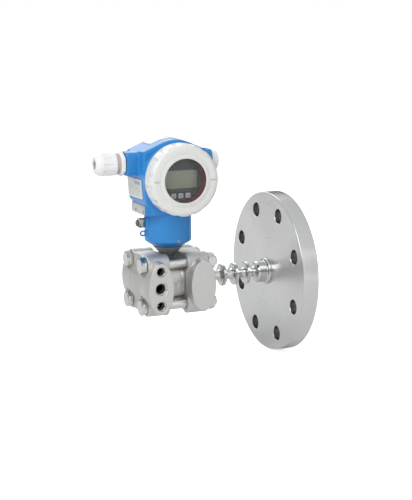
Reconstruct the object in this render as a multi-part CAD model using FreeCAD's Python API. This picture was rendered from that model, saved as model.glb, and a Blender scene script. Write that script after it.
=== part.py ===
import FreeCAD, Part
import math
import os

# Differential pressure transmitter with a direct-mounted flanged seal, in millimetres.
# The origin is the centre of the bolt circle on the process flange's front face, and +X points
# out of that face.
# +Z is up and the display looks along -Y.  The measuring cell hangs on the flange through the
# finned neck, and the blue housing stands on the cell and turns about its upright axis.

os.makedirs("parts", exist_ok=True)

Vector = FreeCAD.Vector
ORIGIN = Vector(0, 0, 0)
X_AXIS = Vector(1, 0, 0)
Y_AXIS = Vector(0, 1, 0)
Z_AXIS = Vector(0, 0, 1)

# ---- clearances
slip = 0.05            # radial play of a piece that turns or sits in a bore
gap = 0.3              # free space beside a moving piece
thread_play = 0.05     # radial play between a plain thread and its hole

# ---- process flange
flange_d = 200.0
flange_t = 21.0
raised_d = 138.0
raised_h = 3.0
bolt_circle_d = 160.0
flange_hole_d = 18.0
flange_holes = 8
flange_edge = 1.2
pocket_d = 90.0        # pocket of the process diaphragm
pocket_ledge_w = 7.0
pocket_ledge_depth = 1.2
pocket_depth = 2.4

# ---- corrugated diaphragms
process_foil_t = 0.5
process_waves = 4
process_wave_h = 0.6
process_foil_centre_r = 8.0
cell_foil_t = 0.4
cell_waves = 2
cell_wave_h = 0.5
cell_foil_centre_r = 4.0

# ---- finned neck between the flange and the high-pressure block
neck_len = 89.85
neck_core_r = 6.0
neck_plug_r = 7.0
neck_plug_len = 10.0
neck_collar_r = 9.0
neck_collar_len = 4.0
fin_r = 14.0
fin_t = 4.6
fin_count = 3
fin_first = 28.0
fin_pitch = 16.35
fin_root = 2.4
fin_bevel = 1.4
hub_r = 13.5
hub_len = 17.0
hub_chamfer = 2.5
weld_r = 16.6
weld_len = 3.8
capillary_r = 1.5
capillary_wall = 0.9

# ---- side blocks that clamp the cell
cell_half = 12.0       # half the cell's width between the blocks
block_seat = 26.9      # inner face to the bolt seats
block_face = 31.3      # inner face to the outer face
pad_reach = 49.0       # front and rear pads, from the cell's axis
pad_centre = 15.0      # inner face to the pads' middle
pad_half_w = 15.75
pad_half_h = 30.75
pad_root_grow = 1.3
pad_root_reach = 21.0
core_half_z = 33.0
core_crown = 2.0
core_reach = 34.0
barrel_half_w = 17.0   # oval barrel that joins the front and rear pads
barrel_half_h = 30.5
lobe_r = 12.0
lobe_bevel = 1.0
head_room_r = 13.4
tie_bolt_offset = 25.0
tie_bolt_d = 12.0
tie_hole_d = 13.0
chamber_r = 18.0
chamber_depth = 2.5
gasket_out_r = 23.0
gasket_in_r = 20.0
gasket_t = 2.0
channel_r = 2.5
flange_pair_pitch = 41.3   # bolt threads beside the process thread
flange_thread_d = 11.11
flange_thread_depth = 17.0
process_thread_d = 13.7
process_thread_depth = 16.0
process_sink = 1.4
thread_sink = 0.7

# ---- tie bolts
hex_af = 18.0
head_h = 7.5
nut_h = 10.0
bolt_past_nut = 3.0

# ---- vent plug in the rear pad
vent_af = 14.0
vent_head_h = 6.0
vent_thread_len = 9.0

# ---- measuring cell
cell_r = 28.0
cell_edge = 1.0
cell_pocket_r = 19.0
cell_ledge_w = 2.5
cell_ledge_depth = 0.8
cell_pocket_depth = 1.8
sensor_r = 7.0
sensor_half = 3.5
oil_bore_r = 1.2
lead_bore_r = 2.6
lead_r = 2.0
plug_r = 4.5
plug_len = 6.0
plug_proud = 0.6
plug_x = 2.0
nipple_foot_r = 6.0
nipple_foot_len = 6.0
nipple_af = 14.0
nipple_seat_z = cell_r - 1.4
nipple_seat_r = 9.5

# ---- cone adapter
cone_base_r = 7.3
cone_base_z = nipple_seat_z + 3.4
cone_top_r = 18.3
cone_top_z = cone_base_z + 13.0
cone_spigot_r = 5.0
cone_spigot_len = 5.0
post_r = 15.0
post_top_z = cone_top_z + 19.0
post_bore_r = 6.0
lock_groove_z = cone_top_z + 9.0     # middle of the groove
lock_groove_w = 4.4
lock_groove_depth = 1.6
ring_groove_z = cone_top_z + 3.6
ring_section_r = 1.2
ring_groove_play = 0.2

# ---- housing casting
axis_z = cone_top_z + 85.0     # height of the display's axis
neck_r = 28.5
neck_bevel_z = cone_top_z + 7.0
roof_r = 45.0
roof_slope = 23.0
half_front = 40.0
half_back = 43.0
body_front = 28.0
body_back = 26.0
side_low_z = axis_z - 27.0
side_low_in = 2.0
body_foot_z = axis_z - 44.0
body_round = 3.0
collar_r = 40.5
collar_front = 36.5
collar_root = 24.0
cavity_r = 34.5
cavity_back = 20.0
wire_bore_r = 11.0
skirt_r = 38.45
skirt_wall = 2.9
skirt_len = 8.0
entry_z = axis_z + 16.5
gland_entry_end = 56.0
blank_entry_end = 52.5
entry_half = 14.0
entry_round = 5.0
entry_bore_r = 10.0
entry_thread_len = 12.0

# ---- plates and ground terminal on the left side
plate_t = 0.8
plate_lift = 0.05      # bedding under the nameplate
plate_top_z = axis_z - 1.5
plate_bottom_z = axis_z - 24.5
plate_front = 20.0
plate_back = 22.0
tag_x = 37.0
tag_top_z = axis_z - 32.5
tag_bottom_z = axis_z - 43.5
tag_front = 22.0
tag_back = 23.0
tag_step = 2.5         # from the tag plate up to the end of its cast flat
tag_screw_z = tag_bottom_z + 3.7
tag_screw_ys = (-18.6, 8.4)
plate_corner = 2.0
rivet_r = 1.5
rivet_h = 0.7
ground_z = axis_z - 55.4
ground_w = 10.5
ground_h = 11.0
ground_x = 38.0
ground_seat_x = 31.0
ground_screw_r = 3.6
ground_screw_h = 2.4
eye_z = axis_z - 68.5
eye_x = 32.2
eye_r = 3.0
eye_wall = 1.1
lock_screw_r = 2.0
lock_screw_len = 13.5
lock_screw_turn = 7.0

# ---- cable gland and blanking plug
gland_seal_t = 0.6
gland_hex_af = 26.5
gland_hex_t = 5.2
gland_neck_r = 11.3
gland_neck_len = 18.0
gland_bore_r = 7.8
gland_ring_r = 12.6
gland_ring_len = 5.0
nut_r = 13.6
nut_len = 25.0
nut_flutes = 10
nut_flute_r = 1.3
nut_tip_r = 9.5
nut_hole_r = 6.2
insert_hole_r = 4.5
blank_r = 12.2
blank_t = 9.0
blank_seal_t = 1.2

# ---- inside the housing
insert_front = 24.0
insert_play = 0.3
wire_room_len = 12.0
terminal_w = 34.0
terminal_h = 9.0
terminal_t = 7.0
terminal_z = axis_z - 24.0
terminal_ways = 4
display_face = 42.4
display_back = 32.0
display_r = 31.0
lcd_w = 42.6
lcd_h = 21.0
lcd_border = 1.2
lcd_t = 2.5
lcd_sink = 0.6
key_w = 6.2
key_h = 5.8
key_pitch = 9.0
key_drop = 19.2
key_t = 2.6
key_proud = 0.6
key_travel = 0.8
key_play = 0.25
leg_r = 2.2
leg_place = 23.5

# ---- screw cover
cover_r = 42.5
cover_rear = 37.0
cover_front = 59.0
cover_bevel_r = 38.6
cover_bevel_y = 52.0
cover_shoulder_r = 41.3
cover_shoulder_y = 56.4
grip_count = 16
grip_r = 7.0
grip_depth = 1.3
window_r = 25.85
window_lip = 1.5
window_rim_w = 2.6
window_rim_h = 0.7
glass_r = 29.0
glass_t = 5.0
retainer_r = 30.5
retainer_t = 9.1
cover_cavity_r = 35.6
cover_cavity_front = 46.0
cover_seal_section_r = 0.9
cover_groove_w = 2.1
cover_groove_back = 3.1

# ---- key flap on the roof
flap_front = 6.0
flap_back = 18.0
flap_left = 24.0
flap_pin_x = 26.0
flap_pocket = 2.2
flap_under = 0.7
flap_over = 0.5
flap_pin_r = 0.8
flap_barrel_r = 1.7
flap_pin_sink = 0.9
flap_pin_seat = 3.0
outer_key_r = 3.6
outer_key_turn = 16.0
outer_key_top = 1.1
outer_key_len = 4.9
outer_key_travel = 1.2
outer_key_play = 0.35

# ---- places worked out from the sizes above
cell_x = -(flange_t + neck_len + block_face + cell_half)
cell_at = Vector(cell_x, 0, 0)
block_face_x = cell_half + block_face
flange_back_x = -flange_t


def place(shape, base, axis):
    """The shape drawn along Z, turned to lie along axis and moved to base."""
    moved = shape.copy()
    moved.Placement = FreeCAD.Placement(base, FreeCAD.Rotation(Z_AXIS, axis))
    return moved


def rod(radius, length, base, axis):
    return place(Part.makeCylinder(radius, length), base, axis)


def tube(outer, inner, length, base, axis):
    return rod(outer, length, base, axis).cut(rod(inner, length, base, axis))


def outline(steps, to_3d):
    """A closed wire: a pair ends a straight run, four numbers are an arc's middle and end."""
    here = to_3d(*steps[0])
    first = here
    edges = []
    for step in steps[1:]:
        end = to_3d(*step[-2:])
        if len(step) == 4:
            edges.append(Part.Arc(here, to_3d(*step[:2]), end).toShape())
        else:
            edges.append(Part.makeLine(here, end))
        here = end
    if here.distanceToPoint(first) > 1e-6:
        edges.append(Part.makeLine(here, first))
    return Part.Wire(edges)


def turned(steps, base, axis):
    """A turned solid: the steps give (station along the axis, radius)."""
    face = Part.Face(outline(steps, lambda s, r: Vector(r, 0, s)))
    return place(face.revolve(ORIGIN, Z_AXIS, 360), base, axis)


def hexagon(across_flats, height, base, axis):
    corner = across_flats / 2 / math.cos(math.radians(30))
    points = []
    for i in range(7):
        turn = math.radians(60 * i)
        points.append(Vector(corner * math.cos(turn), corner * math.sin(turn), 0))
    body = Part.Face(Part.makePolygon(points)).extrude(Vector(0, 0, height))
    return place(body, base, axis)


def hex_head(across_flats, height, base, axis):
    """A hexagon whose outer corners are turned off at 30 degrees."""
    corner = across_flats / 2 / math.cos(math.radians(30))
    drop = (corner - across_flats / 2 * 0.95) * math.tan(math.radians(30))
    crown = turned([(0, 0), (0, corner), (height - drop, corner),
                    (height, across_flats / 2 * 0.95), (height, 0)], base, axis)
    return hexagon(across_flats, height, base, axis).common(crown)


def box(low, high):
    size = high.sub(low)
    return Part.makeBox(size.x, size.y, size.z, low)


def rounded_box(low, high, axis, radius):
    """A box whose four edges along one axis are rounded."""
    solid = box(low, high)
    edges = [edge for edge in solid.Edges
             if abs(abs(edge.tangentAt(edge.FirstParameter).dot(axis)) - 1) < 1e-6]
    return solid.makeFillet(radius, edges)


def seal_ring(middle_r, section_r, base, axis):
    """A sealing ring whose round section is drawn with six flats."""
    steps = []
    for i in range(7):
        turn = math.radians(60 * i + 30)
        steps.append((section_r * math.sin(turn), middle_r + section_r * math.cos(turn)))
    return turned(steps, base, axis)


def fuse_all(shapes):
    return shapes[0].multiFuse(shapes[1:]).removeSplitter()


def group(shapes):
    """Separate solids that share a node."""
    return Part.makeCompound(shapes)


def tie_places():
    for y in (-tie_bolt_offset, tie_bolt_offset):
        for z in (-tie_bolt_offset, tie_bolt_offset):
            yield y, z


# ------------------------------------------------------------------ diaphragms

def foil(rim_r, centre_r, flat_r, thickness, waves, wave_h, base, axis):
    """A corrugated disc: a flat middle, concentric ridges and a flat rim."""
    step = (flat_r - centre_r) / (2 * waves)
    line = [(0, centre_r)]
    for i in range(2 * waves):
        rise = wave_h if i % 2 == 0 else -wave_h
        line.append((rise, centre_r + (i + 0.5) * step))
    line.append((0, flat_r))
    top = [(z + thickness, r) for z, r in line]
    steps = [(thickness, 0)] + top + [(thickness, rim_r), (0, rim_r)]
    steps += list(reversed(line)) + [(0, 0)]
    return turned(steps, base, axis)


# ------------------------------------------------------------------ process flange

def process_flange():
    outer = flange_d / 2
    total = raised_h + flange_t
    pocket_r = pocket_d / 2
    inner_r = pocket_r - pocket_ledge_w
    disc = turned([
        (0, 0), (0, outer - flange_edge), (flange_edge, outer),
        (flange_t - flange_edge, outer), (flange_t, outer - flange_edge),
        (flange_t, raised_d / 2 + raised_h / 2), (total, raised_d / 2),
        (total, pocket_r), (total - pocket_ledge_depth, pocket_r),
        (total - pocket_ledge_depth, inner_r), (total - pocket_depth, inner_r),
        (total - pocket_depth, 0)], Vector(flange_back_x, 0, 0), X_AXIS)
    holes = []
    for i in range(flange_holes):
        turn = math.radians(360 / flange_holes * (i + 0.5))
        y = bolt_circle_d / 2 * math.cos(turn)
        z = bolt_circle_d / 2 * math.sin(turn)
        base = Vector(flange_back_x - 1, y, z)
        holes.append(rod(flange_hole_d / 2, total + 2, base, X_AXIS))
    bore = rod(capillary_r + slip, total + 2, Vector(flange_back_x - 1, 0, 0), X_AXIS)
    return disc.cut(holes + [bore])


def process_diaphragm():
    rim = pocket_d / 2 - slip
    flat = pocket_d / 2 - pocket_ledge_w - process_foil_t
    seat = Vector(raised_h - pocket_ledge_depth, 0, 0)
    return foil(rim, process_foil_centre_r, flat, process_foil_t, process_waves,
                process_wave_h, seat, X_AXIS)


def isolator_neck():
    """One turned piece: plug, collar, three bevelled fins, hub and welding collar."""
    bore = capillary_r + slip
    steps = [(-neck_plug_len, bore), (-neck_plug_len, neck_plug_r), (0, neck_plug_r),
             (0, neck_collar_r), (neck_collar_len, neck_collar_r),
             (neck_collar_len + 1, neck_core_r)]
    half = fin_t / 2
    for i in range(fin_count):
        mid = fin_first + i * fin_pitch
        left = mid - half
        right = mid + half
        steps += [
            (left - fin_root, neck_core_r), (left, neck_core_r + fin_root),
            (left, fin_r - fin_bevel), (left + fin_bevel, fin_r),
            (right - fin_bevel, fin_r), (right, fin_r - fin_bevel),
            (right, neck_core_r + fin_root), (right + fin_root, neck_core_r)]
    hub_start = neck_len - hub_len
    weld_start = neck_len - weld_len
    steps += [
        (hub_start - fin_root, neck_core_r), (hub_start, neck_core_r + fin_root),
        (hub_start, hub_r - hub_chamfer), (hub_start + hub_chamfer, hub_r),
        (weld_start, hub_r), (weld_start + weld_len / 2, weld_r),
        (neck_len, weld_r), (neck_len, bore)]
    return turned(steps, Vector(cell_x + block_face_x, 0, 0), X_AXIS)


def capillary_tube():
    start = cell_x + cell_half + chamber_depth
    end = raised_h - pocket_depth
    return tube(capillary_r, capillary_r - capillary_wall, end - start,
                Vector(start, 0, 0), X_AXIS)


# ------------------------------------------------------------------ side blocks

def oval(half_w, half_h, x, y):
    """An upright ellipse square to Y."""
    centre = Vector(x, y, 0)
    curve = Part.Ellipse(Vector(x, y, half_h), Vector(x + half_w, y, 0), centre)
    return Part.Wire(curve.toShape())


def pad(side):
    """An oval pad on the front (side -1) or the rear (side +1), tapered out to the block."""
    mid_x = cell_half + pad_centre
    root = oval(pad_half_w + pad_root_grow, pad_half_h + pad_root_grow,
                mid_x + pad_root_grow / 2, side * pad_root_reach)
    face = oval(pad_half_w, pad_half_h, mid_x, side * pad_reach)
    return Part.makeLoft([root, face], True, True)


def block_body():
    """The casting without its bores, for the block on the +X side of the cell's centre."""
    seat_x = cell_half + block_seat
    side_view = [(-core_reach, -core_half_z), (0, -core_half_z - core_crown, core_reach, -core_half_z),
                 (core_reach, core_half_z), (0, core_half_z + core_crown, -core_reach, core_half_z)]
    core = Part.Face(outline(side_view, lambda y, z: Vector(cell_half, y, z)))
    core = core.extrude(Vector(block_seat, 0, 0))
    barrel = oval(barrel_half_w, barrel_half_h, cell_half + pad_centre, -pad_root_reach)
    barrel = Part.Face(barrel).extrude(Vector(0, 2 * pad_root_reach, 0))
    flat_room = box(Vector(cell_half, -pad_reach, -pad_reach),
                    Vector(block_face_x, pad_reach, pad_reach))
    room = []
    lobes = []
    for y, z in tie_places():
        room.append(rod(head_room_r, block_face, Vector(seat_x, y, z), X_AXIS))
        lobes.append(turned([(0, 0), (0, lobe_r), (block_seat - lobe_bevel, lobe_r),
                             (block_seat, lobe_r - lobe_bevel), (block_seat, 0)],
                            Vector(cell_half, y, z), X_AXIS))
    cell_room = box(Vector(-cell_half, -cell_r - 1, -2 * cell_r),
                    Vector(cell_half, cell_r + 1, 2 * cell_r))
    pads = [pad(-1).cut(room + [cell_room]), pad(1).cut(room + [cell_room])]
    return fuse_all([core, barrel.common(flat_room).cut(room)] + lobes + pads)


def drilled(start, end, radius):
    axis = end.sub(start)
    return rod(radius, axis.Length, start, axis)


def side_block(low_side):
    """A side block in the cell's frame, with the bores of its own side."""
    bores = []
    for y, z in tie_places():
        bores.append(rod(tie_hole_d / 2, block_face, Vector(cell_half - 1, y, z), X_AXIS))
    bores.append(rod(chamber_r, chamber_depth, Vector(cell_half, 0, 0), X_AXIS))
    bores.append(tube(gasket_out_r + slip, gasket_in_r - slip, gasket_t,
                      Vector(cell_half, 0, 0), X_AXIS))
    mid_x = cell_half + pad_centre
    chamber_end = Vector(cell_half + chamber_depth - 0.5, 0, 0)
    if low_side:
        for side in (-1, 1):
            face = Vector(mid_x, side * pad_reach, 0)
            inward = Vector(0, -side, 0)
            bores.append(turned([(0, 0), (0, process_thread_d / 2 + process_sink),
                                 (process_sink, process_thread_d / 2),
                                 (process_thread_depth, process_thread_d / 2),
                                 (process_thread_depth + 3, channel_r),
                                 (process_thread_depth + 3, 0)], face, inward))
            bottom = Vector(mid_x, side * (pad_reach - process_thread_depth - 1), 0)
            inner = Vector(chamber_end.x, side * chamber_r * 0.6, 0)
            bores.append(drilled(bottom, inner, channel_r))
        for z in (-flange_pair_pitch / 2, flange_pair_pitch / 2):
            face = Vector(mid_x, -pad_reach, z)
            radius = flange_thread_d / 2
            bores.append(turned([(0, 0), (0, radius + thread_sink), (thread_sink, radius),
                                 (flange_thread_depth, radius),
                                 (flange_thread_depth + radius / 2, 0)], face, Y_AXIS))
    else:
        bores.append(rod(neck_plug_r + slip, neck_plug_len + slip,
                         Vector(block_face_x - neck_plug_len - slip, 0, 0), X_AXIS))
        bores.append(rod(capillary_r + slip, block_face, chamber_end, X_AXIS))
    block = block_body().cut(bores)
    if low_side:
        block = block.mirror(ORIGIN, X_AXIS)
    block.translate(cell_at)
    return block


def gasket(side):
    start = cell_x + (cell_half if side > 0 else -cell_half - gasket_t)
    return tube(gasket_out_r, gasket_in_r, gasket_t, Vector(start, 0, 0), X_AXIS)


def tie_bolts():
    """Four hexagon bolts with their heads on the low-pressure side."""
    seat = cell_half + block_seat
    shank = 2 * seat + nut_h + bolt_past_nut
    bolts = []
    for y, z in tie_places():
        under_head = Vector(cell_x - seat, y, z)
        head = hex_head(hex_af, head_h, under_head, X_AXIS.negative())
        bolts.append(head.fuse(rod(tie_bolt_d / 2, shank, under_head, X_AXIS)))
    return group(bolts)


def tie_nuts():
    seat = cell_half + block_seat
    nuts = []
    for y, z in tie_places():
        base = Vector(cell_x + seat, y, z)
        nut = hex_head(hex_af, nut_h, base, X_AXIS)
        nuts.append(nut.cut(rod(tie_bolt_d / 2 + thread_play, nut_h, base, X_AXIS)))
    return group(nuts)


def minus_vent_plug():
    """A hexagon plug screwed into the rear pad of the low-pressure block."""
    face = Vector(cell_x - cell_half - pad_centre, pad_reach, 0)
    head = hex_head(vent_af, vent_head_h, face, Y_AXIS)
    thread = rod(process_thread_d / 2 - thread_play, vent_thread_len, face, Y_AXIS.negative())
    collar = rod(process_thread_d / 2 + process_sink, 0.8, face, Y_AXIS)
    return fuse_all([head, collar, thread])


# ------------------------------------------------------------------ measuring cell

def sensor_cell():
    ledge = cell_pocket_r - cell_ledge_w
    half = [(-cell_half, cell_pocket_r), (-cell_half, cell_r - cell_edge),
            (-cell_half + cell_edge, cell_r), (cell_half - cell_edge, cell_r),
            (cell_half, cell_r - cell_edge), (cell_half, cell_pocket_r),
            (cell_half - cell_ledge_depth, cell_pocket_r), (cell_half - cell_ledge_depth, ledge),
            (cell_half - cell_pocket_depth, ledge), (cell_half - cell_pocket_depth, oil_bore_r),
            (sensor_half, oil_bore_r), (sensor_half, sensor_r + slip),
            (-sensor_half, sensor_r + slip), (-sensor_half, oil_bore_r),
            (-cell_half + cell_pocket_depth, oil_bore_r), (-cell_half + cell_pocket_depth, ledge),
            (-cell_half + cell_ledge_depth, ledge),
            (-cell_half + cell_ledge_depth, cell_pocket_r)]
    body = turned(half, cell_at, X_AXIS)
    seat = rod(nipple_seat_r, 4, Vector(cell_x, 0, nipple_seat_z), Z_AXIS)
    foot = rod(nipple_foot_r + slip, nipple_foot_len,
               Vector(cell_x, 0, nipple_seat_z - nipple_foot_len), Z_AXIS)
    lead = rod(lead_bore_r, nipple_seat_z, cell_at, Z_AXIS)
    plug_hole = rod(plug_r + slip, cell_r,
                    Vector(cell_x + plug_x, -(cell_r - plug_len), 0), Y_AXIS.negative())
    return body.cut([seat, foot, lead, plug_hole])


def cell_diaphragm(side):
    rim = cell_pocket_r - slip
    flat = cell_pocket_r - cell_ledge_w - cell_foil_t
    seat = Vector(cell_x + side * (cell_half - cell_ledge_depth), 0, 0)
    axis = X_AXIS if side > 0 else X_AXIS.negative()
    return foil(rim, cell_foil_centre_r, flat, cell_foil_t, cell_waves, cell_wave_h, seat, axis)


def sensor_element():
    return rod(sensor_r, 2 * sensor_half - 2 * slip,
               Vector(cell_x - sensor_half + slip, 0, 0), X_AXIS)


def fill_plug():
    base = Vector(cell_x + plug_x, -(cell_r - plug_len), 0)
    length = plug_len + plug_proud
    return turned([(0, 0), (0, plug_r), (length - 0.4, plug_r), (length, plug_r - 0.4),
                   (length, 0)], base, Y_AXIS.negative())


def cell_nipple():
    """The hexagon nipple between the cell and the cone, with the lead's bore."""
    foot = rod(nipple_foot_r, nipple_foot_len,
               Vector(cell_x, 0, nipple_seat_z - nipple_foot_len), Z_AXIS)
    body = hex_head(nipple_af, cone_base_z - nipple_seat_z,
                    Vector(cell_x, 0, nipple_seat_z), Z_AXIS)
    spigot = rod(cone_spigot_r, cone_spigot_len, Vector(cell_x, 0, cone_base_z), Z_AXIS)
    bore = rod(lead_bore_r, post_top_z, cell_at, Z_AXIS)
    return fuse_all([foot, body, spigot]).cut(bore)


def neck_cone():
    """The cone and its upright post, with a lock groove and a seal groove."""
    ring_in_r = post_r - 2 * ring_section_r
    half_ring = ring_section_r + ring_groove_play
    half_lock = lock_groove_w / 2
    steps = [
        (cone_base_z, cone_spigot_r + slip), (cone_base_z, cone_base_r),
        (cone_top_z, cone_top_r), (cone_top_z, post_r),
        (ring_groove_z - half_ring, post_r), (ring_groove_z - half_ring, ring_in_r),
        (ring_groove_z + half_ring, ring_in_r), (ring_groove_z + half_ring, post_r),
        (lock_groove_z - half_lock, post_r),
        (lock_groove_z - half_lock, post_r - lock_groove_depth),
        (lock_groove_z + half_lock, post_r - lock_groove_depth),
        (lock_groove_z + half_lock, post_r),
        (post_top_z - 1, post_r), (post_top_z, post_r - 1), (post_top_z, post_bore_r),
        (cone_base_z + cone_spigot_len + 2, post_bore_r),
        (cone_base_z + cone_spigot_len, cone_spigot_r + slip)]
    return turned(steps, Vector(cell_x, 0, 0), Z_AXIS)


def neck_seal():
    return seal_ring(post_r - ring_section_r, ring_section_r,
                     Vector(cell_x, 0, ring_groove_z), Z_AXIS)


def sensor_lead():
    """The bundled wires on the upright axis, from the sensor to the electronics."""
    start = sensor_r + 0.1
    end = axis_z - cavity_r
    return rod(lead_r, end - start, Vector(cell_x, 0, start), Z_AXIS)


# ------------------------------------------------------------------ housing

def roof_height(x, offset=0.0):
    """Height of the roof's straight slopes, moved out by offset, above the display axis."""
    slope = math.radians(roof_slope)
    tangent_x = (roof_r + offset) * math.sin(slope)
    tangent_z = (roof_r + offset) * math.cos(slope)
    return axis_z + tangent_z - (abs(x) - tangent_x) * math.tan(slope)


def roof_steps(half_w, offset=0.0):
    """The roof line from -half_w to +half_w: slope, arc, slope."""
    slope = math.radians(roof_slope)
    radius = roof_r + offset
    tangent_x = radius * math.sin(slope)
    tangent_z = axis_z + radius * math.cos(slope)
    return [(-half_w, roof_height(half_w, offset)), (-tangent_x, tangent_z),
            (0, axis_z + radius, tangent_x, tangent_z), (half_w, roof_height(half_w, offset))]


def body_wire(half_w, y):
    """The housing's outline across the display axis."""
    low = half_w - side_low_in
    steps = roof_steps(half_w)
    steps += [(half_w, axis_z), (low, side_low_z), (neck_r, body_foot_z),
              (-neck_r, body_foot_z), (-low, side_low_z), (-half_w, axis_z)]
    return outline(steps, lambda x, z: Vector(x, y, z))


def entry_end(side):
    """How far the gland's boss (side -1) or the blanking plug's (side +1) reaches."""
    return blank_entry_end if side > 0 else gland_entry_end


def entry_boss(side):
    inner = side * cavity_r
    outer = side * entry_end(side)
    low = Vector(min(inner, outer), -entry_half, entry_z - entry_half)
    high = Vector(max(inner, outer), entry_half, entry_z + entry_half)
    return rounded_box(low, high, X_AXIS, entry_round)


def housing_outside():
    body = Part.makeLoft([body_wire(half_front, -body_front), body_wire(half_back, body_back)],
                         True, True)
    ends = [edge for edge in body.Edges if edge.BoundBox.YLength < 1e-6 and
            edge.BoundBox.ZMax > body_foot_z + 1]
    body = body.makeFillet(body_round, ends)
    neck = turned([(cone_top_z + gap, 0), (cone_top_z + gap, cone_top_r),
                   (neck_bevel_z, neck_r), (side_low_z, neck_r), (side_low_z, 0)],
                  ORIGIN, Z_AXIS)
    collar = rod(collar_r, collar_front - collar_root, axis_point(collar_root),
                 Y_AXIS.negative())
    tag_pad = box(Vector(-tag_x, -tag_front - 1, tag_bottom_z - 1),
                  Vector(0, tag_back + 1, tag_top_z + tag_step))
    step = box(Vector(-2 * half_back, -2 * body_front, body_foot_z - 5),
               Vector(-tag_x, 2 * body_back, tag_top_z + tag_step))
    ground_lug = box(Vector(-ground_seat_x, -ground_w / 2, ground_z - ground_h / 2),
                     Vector(0, ground_w / 2, ground_z + ground_h / 2))
    eye = tube(eye_r + eye_wall, eye_r - eye_wall, 2 * eye_wall,
               Vector(-eye_x, -eye_wall, eye_z), Y_AXIS)
    body = body.cut(step)
    return fuse_all([body, neck, collar, entry_boss(-1), entry_boss(1), tag_pad, ground_lug, eye])


def flap_profile(low_offset, high_offset, left, right):
    """A strip between two offsets of the roof line, from x = left to x = right."""
    slope = math.radians(roof_slope)
    points = []
    for offset in (low_offset, high_offset):
        radius = roof_r + offset
        tangent_x = radius * math.sin(slope)
        tangent_z = axis_z + radius * math.cos(slope)
        points.append([(left, roof_height(left, offset)), (-tangent_x, tangent_z),
                       (0, axis_z + radius), (tangent_x, tangent_z),
                       (right, roof_height(right, offset))])
    low, high = points
    steps = [low[0], low[1], low[2] + low[3], low[4], high[4], high[3], high[2] + high[1], high[0]]
    return steps


def roof_strip(low_offset, high_offset, left, right, front, back):
    steps = flap_profile(low_offset, high_offset, left, right)
    face = Part.Face(outline(steps, lambda x, z: Vector(x, -front, z)))
    return face.extrude(Vector(0, front + back, 0))


def flap_pin_place():
    """The hinge pin's axis: a little under the right-hand slope."""
    slope = math.radians(roof_slope)
    return Vector(flap_pin_x, 0, roof_height(flap_pin_x, -flap_pin_sink / math.cos(slope)))


def outer_key_axis(turn):
    angle = math.radians(turn)
    return Vector(math.sin(angle), 0, math.cos(angle))


def outer_key_turns():
    return (-outer_key_turn, 0.0, outer_key_turn)


def flap_mid_y():
    return (flap_back - flap_front) / 2


def housing_shell():
    axis_at = Vector(0, 0, axis_z)
    back = Y_AXIS.negative()
    cuts = [
        rod(cavity_r, cavity_back + collar_front, Vector(0, cavity_back, axis_z), back),
        rod(skirt_r + slip, collar_front, Vector(0, -body_front - gap, axis_z), back),
        rod(post_r + slip, post_top_z + 1 - cone_top_z, Vector(0, 0, cone_top_z), Z_AXIS),
        rod(wire_bore_r, axis_z - cone_top_z, Vector(0, 0, cone_top_z), Z_AXIS),
        rod(entry_bore_r, gland_entry_end + blank_entry_end + 2,
            Vector(-gland_entry_end - 1, 0, entry_z), X_AXIS)]
    slope_cos = math.cos(math.radians(roof_slope))
    pin = flap_pin_place()
    pocket_right = flap_pin_x
    pocket = roof_strip(-flap_pocket, 4, -flap_left - gap, pocket_right,
                        flap_front + gap, flap_back + gap)
    trough_r = flap_barrel_r + gap + 0.1
    start = Vector(pin.x, -flap_front - gap, pin.z)
    width = flap_front + flap_back + 2 * gap
    trough = rod(trough_r, width, start, Y_AXIS)
    over = box(Vector(pin.x - trough_r, start.y, pin.z),
               Vector(pin.x + trough_r, start.y + width, pin.z + 2 * trough_r / slope_cos))
    seat_start = Vector(pin.x, start.y - flap_pin_seat, pin.z)
    pin_holes = rod(flap_pin_r, width + 2 * flap_pin_seat, seat_start, Y_AXIS)
    cuts += [pocket, trough, over, pin_holes]
    for turn in outer_key_turns():
        axis = outer_key_axis(turn)
        floor = roof_r - outer_key_top - outer_key_len - outer_key_travel - gap
        base = Vector(0, flap_mid_y(), axis_z).add(axis.multiply(floor))
        cuts.append(rod(outer_key_r + outer_key_play, roof_r - floor, base, outer_key_axis(turn)))
    screw_axis = lock_screw_axis()
    screw_base = Vector(0, 0, lock_groove_z)
    cuts.append(rod(lock_screw_r + slip, neck_r + 2, screw_base, screw_axis))
    cuts.append(rod(ground_screw_r / 2, 6, Vector(-ground_seat_x - 1, 0, ground_z), X_AXIS))
    shell = housing_outside().cut(cuts)
    return moved_to_cell(shell)


def moved_to_cell(shape):
    moved = shape.copy()
    moved.translate(cell_at)
    return moved


def lock_screw_axis():
    angle = math.radians(lock_screw_turn)
    return Vector(math.sin(angle), -math.cos(angle), 0)


def housing_lock_screw():
    axis = lock_screw_axis()
    tip = post_r - lock_groove_depth + gap
    base = Vector(0, 0, lock_groove_z).add(lock_screw_axis().multiply(tip))
    screw = rod(lock_screw_r, lock_screw_len, base, axis)
    socket_base = base.add(lock_screw_axis().multiply(lock_screw_len - 2))
    socket = hexagon(2.0, 2.5, socket_base, axis)
    return moved_to_cell(screw.cut(socket))


def side_x(y, z):
    """Where the left side's surface lies, from its taper in plan and its lean."""
    share = (y + body_front) / (body_front + body_back)
    half_w = half_front + (half_back - half_front) * share
    lean = side_low_in * max(0.0, axis_z - z) / (axis_z - side_low_z)
    return -(half_w - lean)


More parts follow.
